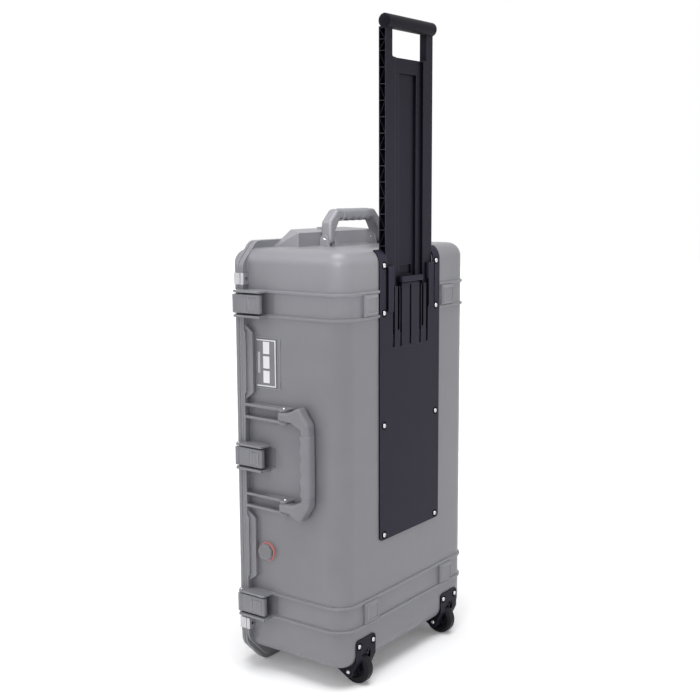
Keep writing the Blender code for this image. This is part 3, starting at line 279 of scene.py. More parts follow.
def moulded(name, code, wear_and_highlight, roughness, grain, depth, wear, sheen=0.5, painted_shade=0.0):
    """Moulded plastic or rubber: etched grain, clouded pigment, wear and painted highlight on edges, painted
    shade in grooves.
    """
    finish, tree, shader, coords = new_finish(name)
    shade = colour(code)
    clouds = add_node(tree, "ShaderNodeTexNoise", {
        "Vector": coords, "Scale": 1 / CLOUD_SIZE, "Detail": 4.0}).outputs["Fac"]
    tint = add_node(tree, "ShaderNodeMix", {
        0: clouds, 6: shifted(shade, -CLOUD_SHIFT), 7: shifted(shade, CLOUD_SHIFT)},
        data_type="RGBA").outputs[2]
    # Edges are painted paler: partly rubbed wear, partly a painted highlight where light would glint on them
    soft_normal = add_node(tree, "ShaderNodeBevel", {"Radius": EDGE_RADIUS}, samples=4)
    own_normal = add_node(tree, "ShaderNodeNewGeometry")
    likeness = add_node(tree, "ShaderNodeVectorMath", {
        0: soft_normal.outputs[0], 1: own_normal.outputs["Normal"]}, operation="DOT_PRODUCT")
    edge = add_node(tree, "ShaderNodeMapRange", {
        "Value": likeness.outputs["Value"], "From Min": 0.98, "From Max": 0.80, "To Max": wear})
    worn = add_node(tree, "ShaderNodeMix", {0: edge.outputs[0], 6: tint, 7: colour(wear_and_highlight)},
                    data_type="RGBA").outputs[2]
    # Painted shade: an occlusion test darkens grooves and hollows towards near black, where shade would fall
    if painted_shade:
        hollow = add_node(tree, "ShaderNodeAmbientOcclusion", {"Distance": HOLLOW_SIZE}, samples=8)
        painted_shade_mask = add_node(tree, "ShaderNodeMapRange", {
            "Value": hollow.outputs["AO"], "From Min": 0.96, "From Max": 0.50, "To Max": painted_shade})
        worn = add_node(tree, "ShaderNodeMix", {0: painted_shade_mask.outputs[0], 6: worn, 7: colour(SHADE_BLACK)},
                        data_type="RGBA").outputs[2]
    etched = add_node(tree, "ShaderNodeTexNoise", {
        "Vector": coords, "Scale": 1 / grain, "Detail": 2.0}).outputs["Fac"]
    gloss = add_node(tree, "ShaderNodeMapRange", {
        "Value": clouds, "To Min": roughness - 0.05, "To Max": roughness + 0.05})
    relief = add_node(tree, "ShaderNodeBump", {"Height": etched, "Distance": depth, "Strength": 0.5})
    shader.inputs["Specular IOR Level"].default_value = sheen
    for socket, source in (("Base Color", worn), ("Roughness", gloss.outputs[0]),
                           ("Normal", relief.outputs[0])):
        tree.links.new(source, shader.inputs[socket])
    return finish


# Structural polypropylene: satin grey, with a leathery etched grain and pale edges, partly rubbed wear and
# partly painted highlight
polypropylene = moulded("moulded_polypropylene", "#7F7F84", "#B4B4BA", 0.40, 0.0011, 0.00010, 0.7)
# Glass-filled nylon: bluish black and a little rougher, because fibres stand at the surface; painted shade
# darkens its grooves
glass_nylon = moulded("glass_filled_nylon", "#272431", "#565364", 0.48, 0.0008, 0.00008, 0.6, 0.1, 0.95)
# The same nylon on the sliding plate and the wheel brackets, made blacker; on the brackets the blacker tone
# is painted shade. Painted shade also darkens the grooves of both.
plate_nylon = moulded("blacker_nylon_and_painted_shade", "#1A1723", "#535062", 0.45, 0.0010, 0.00004, 0.6, 0.1, 0.95)
# Hub nylon without glass: smoother and darker
hub_nylon = moulded("unfilled_nylon", "#121116", "#2C2B33", 0.42, 0.0010, 0.00005, 0.4, 0.1)
# Overmoulded rubber on the carrying handles: matt, warm to the touch
handle_rubber = moulded("overmoulded_rubber", "#84848A", "#A0A0A5", 0.62, 0.0009, 0.00010, 0.4)
# Foamed rubber on the trolley grip: black with a low sheen
grip_rubber = moulded("trolley_grip_rubber", "#13111A", "#2C2935", 0.50, 0.0012, 0.00008, 0.4, 0.1)
# Cast urethane: black, tough, shiny where it rolls
urethane = moulded("cast_urethane", "#15141A", "#232228", 0.45, 0.0015, 0.00006, 0.3, 0.15)
# Extruded sealing rubber: dull black
sealing_rubber = moulded("extruded_sealing_rubber", "#1B1B1D", "#2A2A2C", 0.80, 0.0009, 0.00010, 0.3)
# Acetal valve cap: dark and slick
acetal = moulded("acetal_cap", "#78787C", "#98989C", 0.42, 0.0010, 0.00006, 0.5)
# Dyed acetal ring: the one spot of colour
red_acetal = moulded("red_acetal_ring", "#CF7F7B", "#DDA29E", 0.42, 0.0010, 0.00005, 0.3)
# Vinyl card: smooth grey sheet
vinyl = moulded("vinyl_card", "#7B7B80", "#909095", 0.45, 0.0020, 0.00004, 0.3)
# Screen ink on the vinyl: thick, flat white
screen_ink = moulded("white_screen_ink", "#ECECEE", "#F2F2F3", 0.55, 0.0006, 0.00003, 0.1)

# %% [markdown]
# ## Steel
# Screws, pins and axles are stainless steel, tumbled bright after forming. The padlock plates are rolled
# sheet, which is duller. Fine scratches lie along each part, so the noise is stretched, and it only changes
# the gloss and the surface by microns.

# %% Tumbled and rolled stainless steel
SCRATCHES = (900.0, 900.0, 150.0)
TARNISH_SIZE = 0.012


def stainless(name, dark, pale, gloss):
    """Stainless steel with fine scratches and a faint tarnish."""
    finish, tree, shader, coords = new_finish(name)
    stretch = add_node(tree, "ShaderNodeMapping", {"Vector": coords, "Scale": SCRATCHES})
    scratches = add_node(tree, "ShaderNodeTexNoise", {
        "Vector": stretch.outputs[0], "Scale": 1.0, "Detail": 3.0}).outputs["Fac"]
    tarnish = add_node(tree, "ShaderNodeTexNoise", {
        "Vector": coords, "Scale": 1 / TARNISH_SIZE}).outputs["Fac"]
    tint = add_node(tree, "ShaderNodeMix", {0: tarnish, 6: colour(dark), 7: colour(pale)}, data_type="RGBA")
    polish = add_node(tree, "ShaderNodeMapRange", {
        "Value": scratches, "To Min": gloss[0], "To Max": gloss[1]})
    relief = add_node(tree, "ShaderNodeBump", {"Height": scratches, "Distance": 0.00002, "Strength": 0.4})
    shader.inputs["Metallic"].default_value = 1.0
    for socket, source in (("Base Color", tint.outputs[2]), ("Roughness", polish.outputs[0]),
                           ("Normal", relief.outputs[0])):
        tree.links.new(source, shader.inputs[socket])
    return finish


# Tumbled pins and screws: bright, with small sharp highlights
steel = stainless("tumbled_stainless", "#BDBDC0", "#DCDCDE", (0.16, 0.34))
# Rolled sheet of the padlock plates: duller, so that it takes the tone of the case
sheet_steel = stainless("rolled_stainless", "#B4B4B8", "#CCCCD0", (0.38, 0.52))
print("finishes:", len(bpy.data.materials))

# %% [markdown]
# ## Base
# The deep half is one injection moulding: a tray with crowned corners, a stiff rim, two bands of raised
# ridges that run round it, wear pads, and blocks, ribs and ears for everything that bolts or hinges on.
# It is drawn as the mould is built up: the tray first, then each raised form fused on.

# %% Tray, rim and raised forms of the base
SIDE_ROUND = 0.038
END_ROUND = 0.028
RIM_LOW_CUT = (0.053, 0.030)
RIM_TOP_CUT = (0.041, 0.0241)
EIGHTH_TURN = math.tan(math.radians(22.5))
BASE_RIM = ((-0.0010, 0.2210), (-0.0003, 0.2212), (0, 0.2218), (0, 0.2253), (-0.0003, 0.2258),
            (-0.0009, 0.2260))
RIM_TOP = 0.842
BASE_RIM_LOW = 0.012
WIDE_RIMS = (0.2535, 0.6145)
WIDE_END = 0.2250
RIDGE_PROUD = 0.0035
RIDGES = [band + side * 0.023 for band in BANDS for side in (-1, 1)]
PAD_X = 0.1335
PAD_HALF = (0.0215, 0.0200)
PAD_PROUD = 0.008
PAD_BORDER = 0.0056
PAD_SINK = 0.0012
INSIDE_RIM = 0.2225


def level(a, b, axis, height):
    """True where both ends of an edge lie at one height on an axis."""
    return abs(a[axis] - height) < SMALL and abs(b[axis] - height) < SMALL


def crowned(half, low, high, mouth, face, side_round, end_round):
    """Tray: a box with its face edges and its ends rounded, square at its mouth."""
    bm = block((-half, min(mouth, face), low), (half, max(mouth, face), high))
    soften(bm, side_round, 10, lambda a, b: level(a, b, 1, face) and abs(a.z - b.z) > SMALL)
    return soften(bm, end_round, 8, lambda a, b: (level(a, b, 2, low) or level(a, b, 2, high))
                  and not level(a, b, 1, mouth))


def rim_outline(reach, low):
    """Outline of a rim grown by a reach, with its corners cut off aslant and the cuts rounded."""
    half, top, foot = RIM_HALF + reach, RIM_TOP + reach, low - reach
    (low_cut, low_turn), (top_cut, top_turn) = RIM_LOW_CUT, RIM_TOP_CUT
    low_far = low_cut + low_turn * EIGHTH_TURN
    top_far = top_cut + top_turn * EIGHTH_TURN
    right = (arc((half - low_far, foot + low_turn), low_turn, 270, 315, 6)
             + arc((half - low_turn, foot + low_far), low_turn, 315, 360, 6)
             + arc((half - top_turn, top - top_far), top_turn, 0, 45, 5)
             + arc((half - top_far, top - top_turn), top_turn, 45, 90, 5))
    return right + [(-x, z) for x, z in reversed(right)]


def rim(section, low):
    """Rim with a grooved edge: its outline grows and shrinks through its depth."""
    return loft([across("y", depth, rim_outline(reach, low)) for reach, depth in section])


def wide_rim(middle, reach, near, near_half, far_half):
    """Widened stretch of the rim with slanting ends."""
    points = [(near, middle - near_half), (WIDE_END, middle - far_half),
              (WIDE_END, middle + far_half), (near, middle + near_half)]
    return prism(points, "x", -reach, -HALF_WIDTH + WALL / 2, 0.0011)


def ridge(height):
    """Raised ridge that runs from rim to rim round the trolley face."""
    far = HALF_WIDTH + RIDGE_PROUD
    corner = SIDE_ROUND + RIDGE_PROUD
    points = rounded_rect((-far, -RIDGE_PROUD), (far, INSIDE_RIM), (corner, corner, 0.001, 0.001), 12)
    return prism(points, "z", height - 0.0025, height + 0.0025, 0.0014, 3)


def pad_block(side, height, inset, start, end):
    """Block over a pad's place, drawn in by an inset."""
    wide, tall = (half - inset for half in PAD_HALF)
    return block((side * PAD_X - wide, start, height - tall), (side * PAD_X + wide, end, height + tall))


def wear_pad(side, height):
    """Raised pad with a broad chamfer, between the ridges."""
    bm = pad_block(side, height, 0, -PAD_PROUD, WALL / 2)
    soften(bm, 0.0042, 1, lambda a, b: level(a, b, 1, -PAD_PROUD))
    return soften(bm, 0.0007)


base = new_piece("case_base", crowned(HALF_WIDTH, BODY_LOW, BODY_TOP, INSIDE_RIM, 0, SIDE_ROUND, END_ROUND))
fuse(base, rim(BASE_RIM, BASE_RIM_LOW),
     joined([wide_rim(middle, 0.2275, 0.2040, 0.0575, 0.0740) for middle in WIDE_RIMS]),
     joined([wide_rim(middle, 0.2318, 0.2175, 0.0575, 0.0640) for middle in WIDE_RIMS]),
     joined([ridge(height) for height in RIDGES]),
     joined([wear_pad(side, height) for side in SIDES.values() for height in BANDS]))
cut(base, joined([pad_block(side, height, PAD_BORDER, -PAD_PROUD - PAST, PAD_SINK - PAD_PROUD)
                  for side in SIDES.values() for height in BANDS]))
print("base tray:", len(base.data.polygons), "faces")

# %% [markdown]
# ## Blocks, guards and ears on the base
# A shield stands behind the top handle and a foot under the case. Pairs of thin ribs guard each latch from
# knocks. Long ribs brace the front handle's ears back to the rim, and short domed ears hold the top
# handle. The hinge knuckles sit on the far side.

# %% Raised work that carries other pieces
SHIELD_START = 0.1700
FOOT_START = 0.174
GUARD_REACH = 0.2466
GUARD_PITCH = 0.0465
GUARD_HALF = 0.002
HINGE = (0.2396, BASE_DEPTH)
KNUCKLE_RADIUS = 0.007
KNUCKLE_HALF = 0.010
FRONT_PIVOT = Vector((-0.2317, 0.125, MIDDLE))
TOP_PIVOT = Vector((0, 0.136, 0.8417))
EAR_DOME = 0.0095
FRONT_EARS = ((0.0963, 0.1013), (0.0727, 0.0777))
TOP_EARS = ((0.0873, 0.0923), (0.0637, 0.0687))
INNER_WALL = -0.2145


def handle_shield():
    """Block behind the top handle: upright in front, with back corners that slope down to the rim."""
    root = BODY_TOP - WALL / 2
    bm = bmesh.new()
    for depth, points in ((SHIELD_START, ((0.128, root), (0.128, 0.8552))),
                          (INSIDE_RIM, ((0.146, root), (0.0865, 0.8598)))):
        for x, z in points:
            for side in SIDES.values():
                bm.verts.new((side * x, depth, z))
    bmesh.ops.convex_hull(bm, input=bm.verts)
    bmesh.ops.dissolve_limit(bm, angle_limit=math.radians(1), verts=bm.verts, edges=bm.edges)
    return soften(bm, 0.0014)


def standing_foot():
    """Trapezoid block under the case, with its front corners cut back."""
    root = BODY_LOW + WALL / 2
    points = [(-0.134, root), (-0.108, 0), (0.108, 0), (0.134, root)]
    bm = prism(points, "y", FOOT_START, INSIDE_RIM)
    soften(bm, 0.014, 1, lambda a, b: level(a, b, 1, FOOT_START) and abs(a.z - b.z) > SMALL)
    return soften(bm, 0.0016)


def guards(points):
    """Pair of ribs on both sides of each latch, from one outline."""
    middles = [height + side * GUARD_PITCH / 2 for height in LATCHES.values() for side in (-1, 1)]
    return joined([prism(points, "z", z - GUARD_HALF, z + GUARD_HALF, 0.0007) for z in middles])


def knuckles(spans, side, gap):
    """Hinge knuckles with their webs. The side is -1 on the base and 1 on the lid."""
    points = arc(HINGE, KNUCKLE_RADIUS, side * 90, -side * 180, 18)
    points += [(HINGE[0] - KNUCKLE_RADIUS, gap), (HALF_WIDTH, gap),
               (HALF_WIDTH, BASE_DEPTH + side * KNUCKLE_RADIUS)]
    return joined([prism(points, "z", height + low, height + high, 0.0005, 1)
                   for height in LATCHES.values() for low, high in spans])


def mirrored(spans, middle):
    """Stretches on both sides of a middle, each in rising order."""
    return [sorted((middle + side * near, middle + side * far)) for near, far in spans for side in (-1, 1)]


front_ear = ([(INNER_WALL, 0.1125), (-0.2180, 0.1135)] + arc(FRONT_PIVOT.xy, EAR_DOME, 255, 105, 12)
             + [(-0.2312, INSIDE_RIM), (INNER_WALL, INSIDE_RIM)])
top_ear = ([(0.1225, 0.8245), (0.1245, BODY_TOP + 0.0010)]
           + arc(TOP_PIVOT.yz, EAR_DOME, 170, 10, 12) + [(0.1475, BODY_TOP + 0.0010), (0.1495, 0.8245)])
base_guard = [(INNER_WALL, 0.1681), (-0.2225, 0.1681), (-GUARD_REACH, 0.1705), (-GUARD_REACH, 0.2257),
              (INNER_WALL, 0.2257)]
outer_span = (KNUCKLE_HALF + RUN, 3 * KNUCKLE_HALF + RUN)
label_border = [rounded_rect((0.1449 - m, 0.5672 - m), (0.2017 + m, 0.6618 + m), 0.0015, 4)
                for m in (0.0014, 0)]
border_face = -HALF_WIDTH - 0.0012
border_tabs = [block((-HALF_WIDTH - 0.0018, 0.1428, z), (INNER_WALL, 0.1456, z + 0.0150), 0.0005)
               for z in (0.5695, 0.6445)]
fuse(base, handle_shield(), block((-0.0175, 0.2000, 0.855), (0.0175, 0.2125, 0.8625), 0.001),
     standing_foot(), guards(base_guard),
     joined([prism(front_ear, "z", *span, 0.0009) for span in mirrored(FRONT_EARS, MIDDLE)]),
     joined([prism(top_ear, "x", *span, 0.0009) for span in mirrored(TOP_EARS, 0)]),
     knuckles(mirrored([outer_span], 0), -1, BASE_DEPTH - FIT),
     loft([across("x", INNER_WALL, label_border[0]), across("x", border_face, label_border[0]),
           across("x", border_face, label_border[1]), across("x", INNER_WALL, label_border[1])], wrap=True),
     joined(border_tabs))
print("base with blocks and ears:", len(base.data.polygons), "faces")

# %% [markdown]
# ## Hollows in the base
# The core of the mould leaves the inside, walled off from the trolley channel and the wheels. Cross pins
# and inserts leave the bores, the wells and the shallow pockets behind the latches.

# %% Cut the hollows
CHANNEL = (0.0806, 0.273, 0.0171)
CHANNEL_WALL = 0.004
WHEEL_X = 0.1505
AXLE = (0.0175, 0.031)
WELL_RADIUS = 0.034
WELL_HALF = 0.0141
ARCH_TOP = 0.0715
BRACKET_FACE = -0.003
COVER_HALF = 0.1045
COVER_LOW = 0.270
SCREW_HOLE = 0.0023
SOCKET_DEPTH = 0.0048
HANDLE_BORE = 0.0033
HINGE_BORE = 0.0028
POCKET_SPAN = (0.157, 0.2190)
POCKET_HALF = 0.0200
POCKET_DEPTH = 0.0030
LOCK_X = -0.225
LOCKS = {"lower": 0.096, "upper": 0.772}
LOCK_HOLE = 0.0035
VALVE = (0.181, 0.247)
VALVE_STEM = 0.008
cover_screws = [(side * 0.0905, height) for height in (0.797, 0.708, 0.494, 0.280) for side in (-1, 1)]
bracket_screws = {(name, place): (side * (WHEEL_X + offset), 0.083) for name, side in SIDES.items()
                  for place, offset in (("outer", 0.0225), ("inner", -0.0225))}


def channel(grow):
    """Block that fills the trolley channel, grown by a wall."""
    half, low, back = CHANNEL
    return block((-half - grow, -PAST, low - grow), (half + grow, back + grow, BODY_TOP + PAST))


def wells(grow):
    """Rounds that fill the wheel wells, grown by a wall."""
    return joined([bar("x", WELL_RADIUS + grow, side * WHEEL_X - WELL_HALF - grow,
                       side * WHEEL_X + WELL_HALF + grow, AXLE, 48) for side in SIDES.values()])


def arch(x, depth):
    """Tall round-topped slot in front of a wheel."""
    points = rounded_rect((x - WELL_HALF, AXLE[1]), (x + WELL_HALF, ARCH_TOP), (0.001, 0.001, 0.009, 0.009))
    return prism(points, "y", -PAST, depth)


def hinge_bores():
    """Bores for the hinge pins."""
    return joined([bar("z", HINGE_BORE, height - 0.04, height + 0.04, HINGE) for height in LATCHES.values()])


def lock_holes(start, end):
    """Padlock holes through a rim."""
    return joined([bar("y", LOCK_HOLE, start, end, (LOCK_X, height)) for height in LOCKS.values()])


inside = new_piece("base_inside", crowned(HALF_WIDTH - WALL, BODY_LOW + WALL, BODY_TOP - WALL,
                                          BASE_DEPTH + PAST, WALL, SIDE_ROUND - WALL, END_ROUND - WALL))
cut(inside, channel(CHANNEL_WALL), wells(CHANNEL_WALL))
handle_bores = [bar("z", HANDLE_BORE, *span, FRONT_PIVOT.xy) for span in mirrored([(0.060, 0.115)], MIDDLE)]
handle_bores += [bar("x", HANDLE_BORE, *span, TOP_PIVOT.yz) for span in mirrored([(0.050, 0.105)], 0)]
latch_pockets = [block((-HALF_WIDTH - PAST, POCKET_SPAN[0], height - POCKET_HALF),
                       (-HALF_WIDTH + POCKET_DEPTH, POCKET_SPAN[1], height + POCKET_HALF), 0.0015)
                 for height in LATCHES.values()]
cover_seat = block((-COVER_HALF - FIT, -PAST, COVER_LOW - FIT),
                   (COVER_HALF + FIT, 0, BODY_TOP - END_ROUND))
cut(base, inside, cover_seat, channel(0), wells(0),
    joined([arch(side * WHEEL_X, 0.003) for side in SIDES.values()]),
    joined([bar("y", SCREW_HOLE, -PAST, SOCKET_DEPTH, spot)
            for spot in cover_screws + list(bracket_screws.values())]),
    joined(handle_bores), hinge_bores(), lock_holes(RIM_FACE - PAST, BASE_DEPTH + PAST),
    bar("x", VALVE_STEM + FIT, -HALF_WIDTH - PAST, -HALF_WIDTH + PAST, VALVE), joined(latch_pockets))
dress(base, "case", polypropylene, "case_plastic", "base_shell")
print("base finished:", len(base.data.polygons), "faces")

# %% [markdown]
# ## Lid and its seal
# The lid is the shallow half of the same kind. Its own rim, guards and knuckles meet the base's, and a
# groove over the base's wall holds an endless rubber seal. The face has raised bands in line with the base's,
# left by sinking three fields between them.

# %% Lid, gasket and hinge pins
LID_RIM = ((-0.0009, LID_START), (-0.0003, LID_START + 0.0002), (0, LID_START + 0.0007), (0, 0.2305),
           (-0.0004, 0.2310), (-0.0016, 0.2312), (-0.0016, 0.2330), (-0.0004, 0.2332), (0, 0.2337),
           (0, 0.2386), (-0.0005, 0.2396), (-0.0018, LID_RIM_END))
LID_HALF = 0.216
LID_SPAN = (0.042, 0.826)
LID_ROUND = 0.027
LID_WALL = 0.005
LID_RIM_LOW = 0.002
FIELD_DEPTH = 0.0015
FIELDS = ((0.082, 0.116), (0.167, 0.701), (0.752, 0.786))
LATCH_AXIS = (-0.2388, 0.23315)
LATCH_BORE = 0.0025
HINGE_PIN = (0.0025, 0.0326)
SEAL_REACH = 0.0015
SEAL_DEPTH = 0.004


def seal_outline(reach):
    """Outline round the base's wall, grown by a reach."""
    half = HALF_WIDTH + reach
    return rounded_rect((-half, BODY_LOW - reach), (half, BODY_TOP + reach), END_ROUND + reach, 12)


def seal_ring(outer, inner, start, end, edge):
    """Ring of sealing rubber, or its groove. The edge rounds what presses on the base."""
    steps = ((outer, end), (outer, start + edge), (outer - edge, start), (inner + edge, start),
             (inner, start + edge), (inner, end))
    return loft([across("y", depth, seal_outline(reach)) for reach, depth in steps], wrap=True)


lid_guard = [(INNER_WALL, 0.2266), (-GUARD_REACH, 0.2266), (-GUARD_REACH, 0.2330), (-0.2370, 0.2397),
             (INNER_WALL, 0.2397)]
lid = new_piece("case_lid", crowned(LID_HALF, *LID_SPAN, 0.2332, LID_END, LID_ROUND, LID_ROUND))
fuse(lid, rim(LID_RIM, LID_RIM_LOW), guards(lid_guard),
     knuckles([(-KNUCKLE_HALF, KNUCKLE_HALF)], 1, LID_START + FIT))
low, high = LID_SPAN
fields = [prism(rounded_rect((-0.172, a), (0.172, b), 0.012), "y", LID_END - FIELD_DEPTH, LID_END + PAST)
          for a, b in FIELDS]
inner = SEAL_REACH - WALL
cut(lid, crowned(LID_HALF - LID_WALL, low + LID_WALL, high - LID_WALL, LID_START - PAST, LID_END - LID_WALL,
                 LID_ROUND - LID_WALL, LID_ROUND - LID_WALL), hinge_bores(),
    lock_holes(BASE_DEPTH - PAST, LID_RIM_END + PAST),
    joined([bar("z", LATCH_BORE, height - GUARD_PITCH, height + GUARD_PITCH, LATCH_AXIS)
            for height in LATCHES.values()]),
    seal_ring(inner + 0.006 + FIT, inner - FIT, LID_START - PAST, LID_START + SEAL_DEPTH + FIT, 0.0001),
    joined(fields))
dress(lid, "lid", polypropylene, "case_plastic", "lid_shell")
seal = new_piece("lid_seal", seal_ring(inner + 0.006, inner, LID_START, LID_START + SEAL_DEPTH, 0.0015))
dress(seal, "lid", sealing_rubber, "gasket", "lid_gasket")


def pin(name, axis, radius, start, end, centre, body, node):
    """Steel pin or axle with rounded ends, along an axis."""
    soft = radius * 0.45
    profile = [(0, start), (radius - soft, start), (radius, start + soft), (radius, end - soft),
               (radius - soft, end), (0, end)]
    place = list(centre)
    place.insert("xyz".index(axis), 0)
    piece = new_piece(name, lathe(profile, axis, place))
    return dress(piece, body, steel, "steel", node)


radius, half = HINGE_PIN
for name, height in LATCHES.items():
    pin(f"hinge_rod_{name}", "z", radius, height - half, height + half, HINGE, "case", f"hinge_pin_{name}")
print("lid finished:", len(lid.data.polygons), "faces")

# %% [markdown]
# ## Trolley cover and its catch
# A black moulded panel closes the trolley channel, wraps over the case's top edge and is held by eight pan
# head screws in round sinks. Upright grooves leave long springy fingers about the catch, the tongue whose lip
# is pulled to let the handle go.

# %% Cover, catch and screws
COVER_FACE = -0.003
WRAP = (END_ROUND, BODY_TOP - END_ROUND)
WRAP_END = 122
NOTCH = (0.058, 0.755)
CATCH_LOW = 0.639
CATCH_HALF = 0.0305
LIP = (0.762, 0.773)
LIP_FACE = -0.008
RAILS = (0.708, 0.795)
RAIL_FACE = -0.0054
GROOVE_HALF = 0.0035
SINK = (0.0047, 0.0080, 0.0025)


def groove(x, low, high, floor=PAST):
    """Narrow upright slot with round ends, or a groove where a floor is left."""
    points = rounded_rect((x - GROOVE_HALF, low), (x + GROOVE_HALF, high), GROOVE_HALF * 0.99)
    return prism(points, "y", -PAST, floor)


def screw_sinks(spots):
    """Round sinks about screws, with a boss left under each head."""
    inner, outer, depth = SINK
    ends = (-PAST, COVER_FACE + depth)
    profile = [(inner, ends[0]), (outer, ends[0]), (outer, ends[1]), (inner, ends[1])]
    return joined([lathe(profile, "y", (x, 0, z)) for x, z in spots])


def screw_holes(spots):
    """Clearance holes for screws."""
    return joined([bar("y", SCREW_HOLE, -PAST, PAST, spot) for spot in spots])


section = ([(COVER_FACE, COVER_LOW)] + arc(WRAP, END_ROUND - COVER_FACE, 180, WRAP_END, 12)
           + arc(WRAP, END_ROUND + FIT, WRAP_END, 180, 12) + [(-FIT, COVER_LOW)])
panel = prism(section, "x", -COVER_HALF, COVER_HALF)
soften(panel, 0.008, 6, lambda a, b: level(a, b, 2, COVER_LOW) and abs(a.y - b.y) > SMALL)
cover = new_piece("trolley_panel", soften(panel, 0.0006))
rails = []
for side in SIDES.values():
    ends = sorted((side * 0.0598, side * 0.0802))
    bm = prism(rounded_rect((ends[0], RAILS[0]), (ends[1], RAILS[1]), 0.004), "y", RAIL_FACE, -0.0015)
    rails.append(soften(bm, 0.0016, 3, lambda a, b: level(a, b, 1, RAIL_FACE)))
fuse(cover, joined(rails))
grooves = [groove(side * x, low, high, floor) for side in SIDES.values()
           for x, low, high, floor in ((0.0580, 0.6395, 0.7650, PAST), (0.0420, 0.6710, 0.7650, PAST),
                                       (0.0822, 0.7110, 0.7932, -0.0007))]
notch_half, notch_low = NOTCH
gate = block((-CHANNEL[0], -PAST, RAILS[1]), (CHANNEL[0], END_ROUND + PAST, BODY_TOP + PAST))
notch = prism(rounded_rect((-notch_half, notch_low), (notch_half, BODY_TOP), 0.002), "y", -PAST, PAST)
slot_half = CATCH_HALF + 2 * GROOVE_HALF - 0.0006
cut(cover, gate, notch, block((-slot_half, -PAST, CATCH_LOW - FIT), (slot_half, PAST, BODY_TOP)),
    joined(grooves), screw_sinks(cover_screws), screw_holes(cover_screws))
dress(cover, "case", glass_nylon, "trolley_plastic", "trolley_cover")

catch = new_piece("catch_tongue", block((-CATCH_HALF, COVER_FACE, CATCH_LOW),
                                        (CATCH_HALF, -FIT, LIP[1]), 0.0006))
lip = prism(rounded_rect((-0.037, LIP[0]), (0.037, LIP[1]), 0.003), "y", LIP_FACE, -0.0018)
fuse(catch, soften(lip, 0.0018, 3, lambda a, b: level(a, b, 1, LIP_FACE)))
cut(catch, groove(-0.0015, CATCH_LOW + 0.002, LIP[0] - 0.005, -0.0007),
    block((0.0005 - CATCH_HALF, -PAST, LIP[0] - 0.0026), (CATCH_HALF - 0.0005, -0.0008, LIP[0] + FIT)))
dress(catch, "catch", glass_nylon, "trolley_plastic", "trolley_catch")


def screw(name, spot):
    """Pan head screw with a cross recess."""
    head = [(0, 0.0024), (0.0016, 0.00232), (0.0029, 0.0020), (0.0039, 0.0014), (0.0044, 0.0008),
            (0.0045, 0.0003), (0.0043, 0), (0.0020, 0), (0.0020, -0.0072), (0, -0.0072)]
    x, z = spot
    seat = COVER_FACE - FIT
    turned = lathe([(r, -h) for r, h in head], "y", (x, seat, z), 24)
    piece = new_piece(name.replace("screw", "pan_head"), turned)
    for wide, tall in ((0.0021, 0.0004), (0.0004, 0.0021)):
        cut(piece, block((x - wide, seat - PAST, z - tall), (x + wide, seat - 0.0012, z + tall)))
    dress(piece, "case", steel, "steel", name)


for number, spot in enumerate(cover_screws, 1):
    screw(f"cover_screw_{number}", spot)
print("cover:", len(cover.data.polygons), "faces, screws:", len(cover_screws))

# %% [markdown]
# ## Sliding handle
# The handle is a ladder-ribbed plate: long recesses stiffen its face, and zigzag ribs between thin skins
# stiffen its edges, as on a moulded part that must be light. A round rubber grip is seated on its two stiles.

# %% Plate and grip
PLATE_HALF = 0.0800
PLATE = (0.001, 0.0165)
PLATE_SPAN = (0.664, 1.229)
WINDOW = (0.058, 1.177)
FACE_HALF = 0.047
TRUSS_TOP = 1.226
TRUSS_STEPS = (0.020, 0.0295)
TRUSS_RIB = 0.0012
TRUSS_SKIN = 0.0013
TRUSS_DEPTH = 0.017
GRIP_PLACE = (0, 0.0045, 1.239)
GRIP_RADIUS = 0.013
GRIP_HALF = 0.0825
GRIP_DOME = 0.004


def truss(side):
    """Zigzag pockets in one edge of the plate."""
    skins = (PLATE[0] + TRUSS_SKIN, PLATE[1] - TRUSS_SKIN)
    ends = sorted((side * (PLATE_HALF + PAST), side * (PLATE_HALF - TRUSS_DEPTH)))
    heights = [TRUSS_TOP - i * TRUSS_STEPS[0] for i in range(3)]
    while heights[-1] - TRUSS_STEPS[1] > PLATE_SPAN[0]:
        heights.append(heights[-1] - TRUSS_STEPS[1])
    pockets = []
    for i, (top, foot) in enumerate(zip(heights, heights[1:])):
        low = foot + TRUSS_RIB / 2
        high = top - TRUSS_RIB / 2
        near, far = reversed(skins) if i % 2 else skins
        pockets.append(prism([(near, low + TRUSS_RIB), (far, high), (near, high)], "x", *ends))
        pockets.append(prism([(near, low), (far, low), (far, high - TRUSS_RIB)], "x", *ends))
    return joined(pockets)


window_half, window_low = WINDOW
plate = new_piece("sliding_plate", block((-PLATE_HALF, PLATE[0], PLATE_SPAN[0]),
                                         (PLATE_HALF, PLATE[1], PLATE_SPAN[1]), 0.0007))
back_fields = [block((-FACE_HALF, PLATE[1] - 0.002, low), (FACE_HALF, PLATE[1] + PAST, low + 0.074), 0.0015)
               for low in (0.690, 0.772, 0.854, 0.936, 1.018, 1.093)]
cut(plate, prism(rounded_rect((-window_half, window_low), (window_half, 1.3), 0.004), "y", -PAST, 0.03),
    block((-FACE_HALF, -PAST, 0.6), (FACE_HALF, 0.0060, window_low + PAST)),
    prism(rounded_rect((-0.029, 0.6), (0.029, 1.150), 0.002), "y", -PAST, 0.0105),
    prism(rounded_rect((-0.0205, 0.7752), (0.0205, 0.7934), 0.002), "y", -PAST, 0.0138),
    truss(-1), truss(1), joined(back_fields))
dress(plate, "trolley", plate_nylon, "trolley_plastic", "trolley_plate")

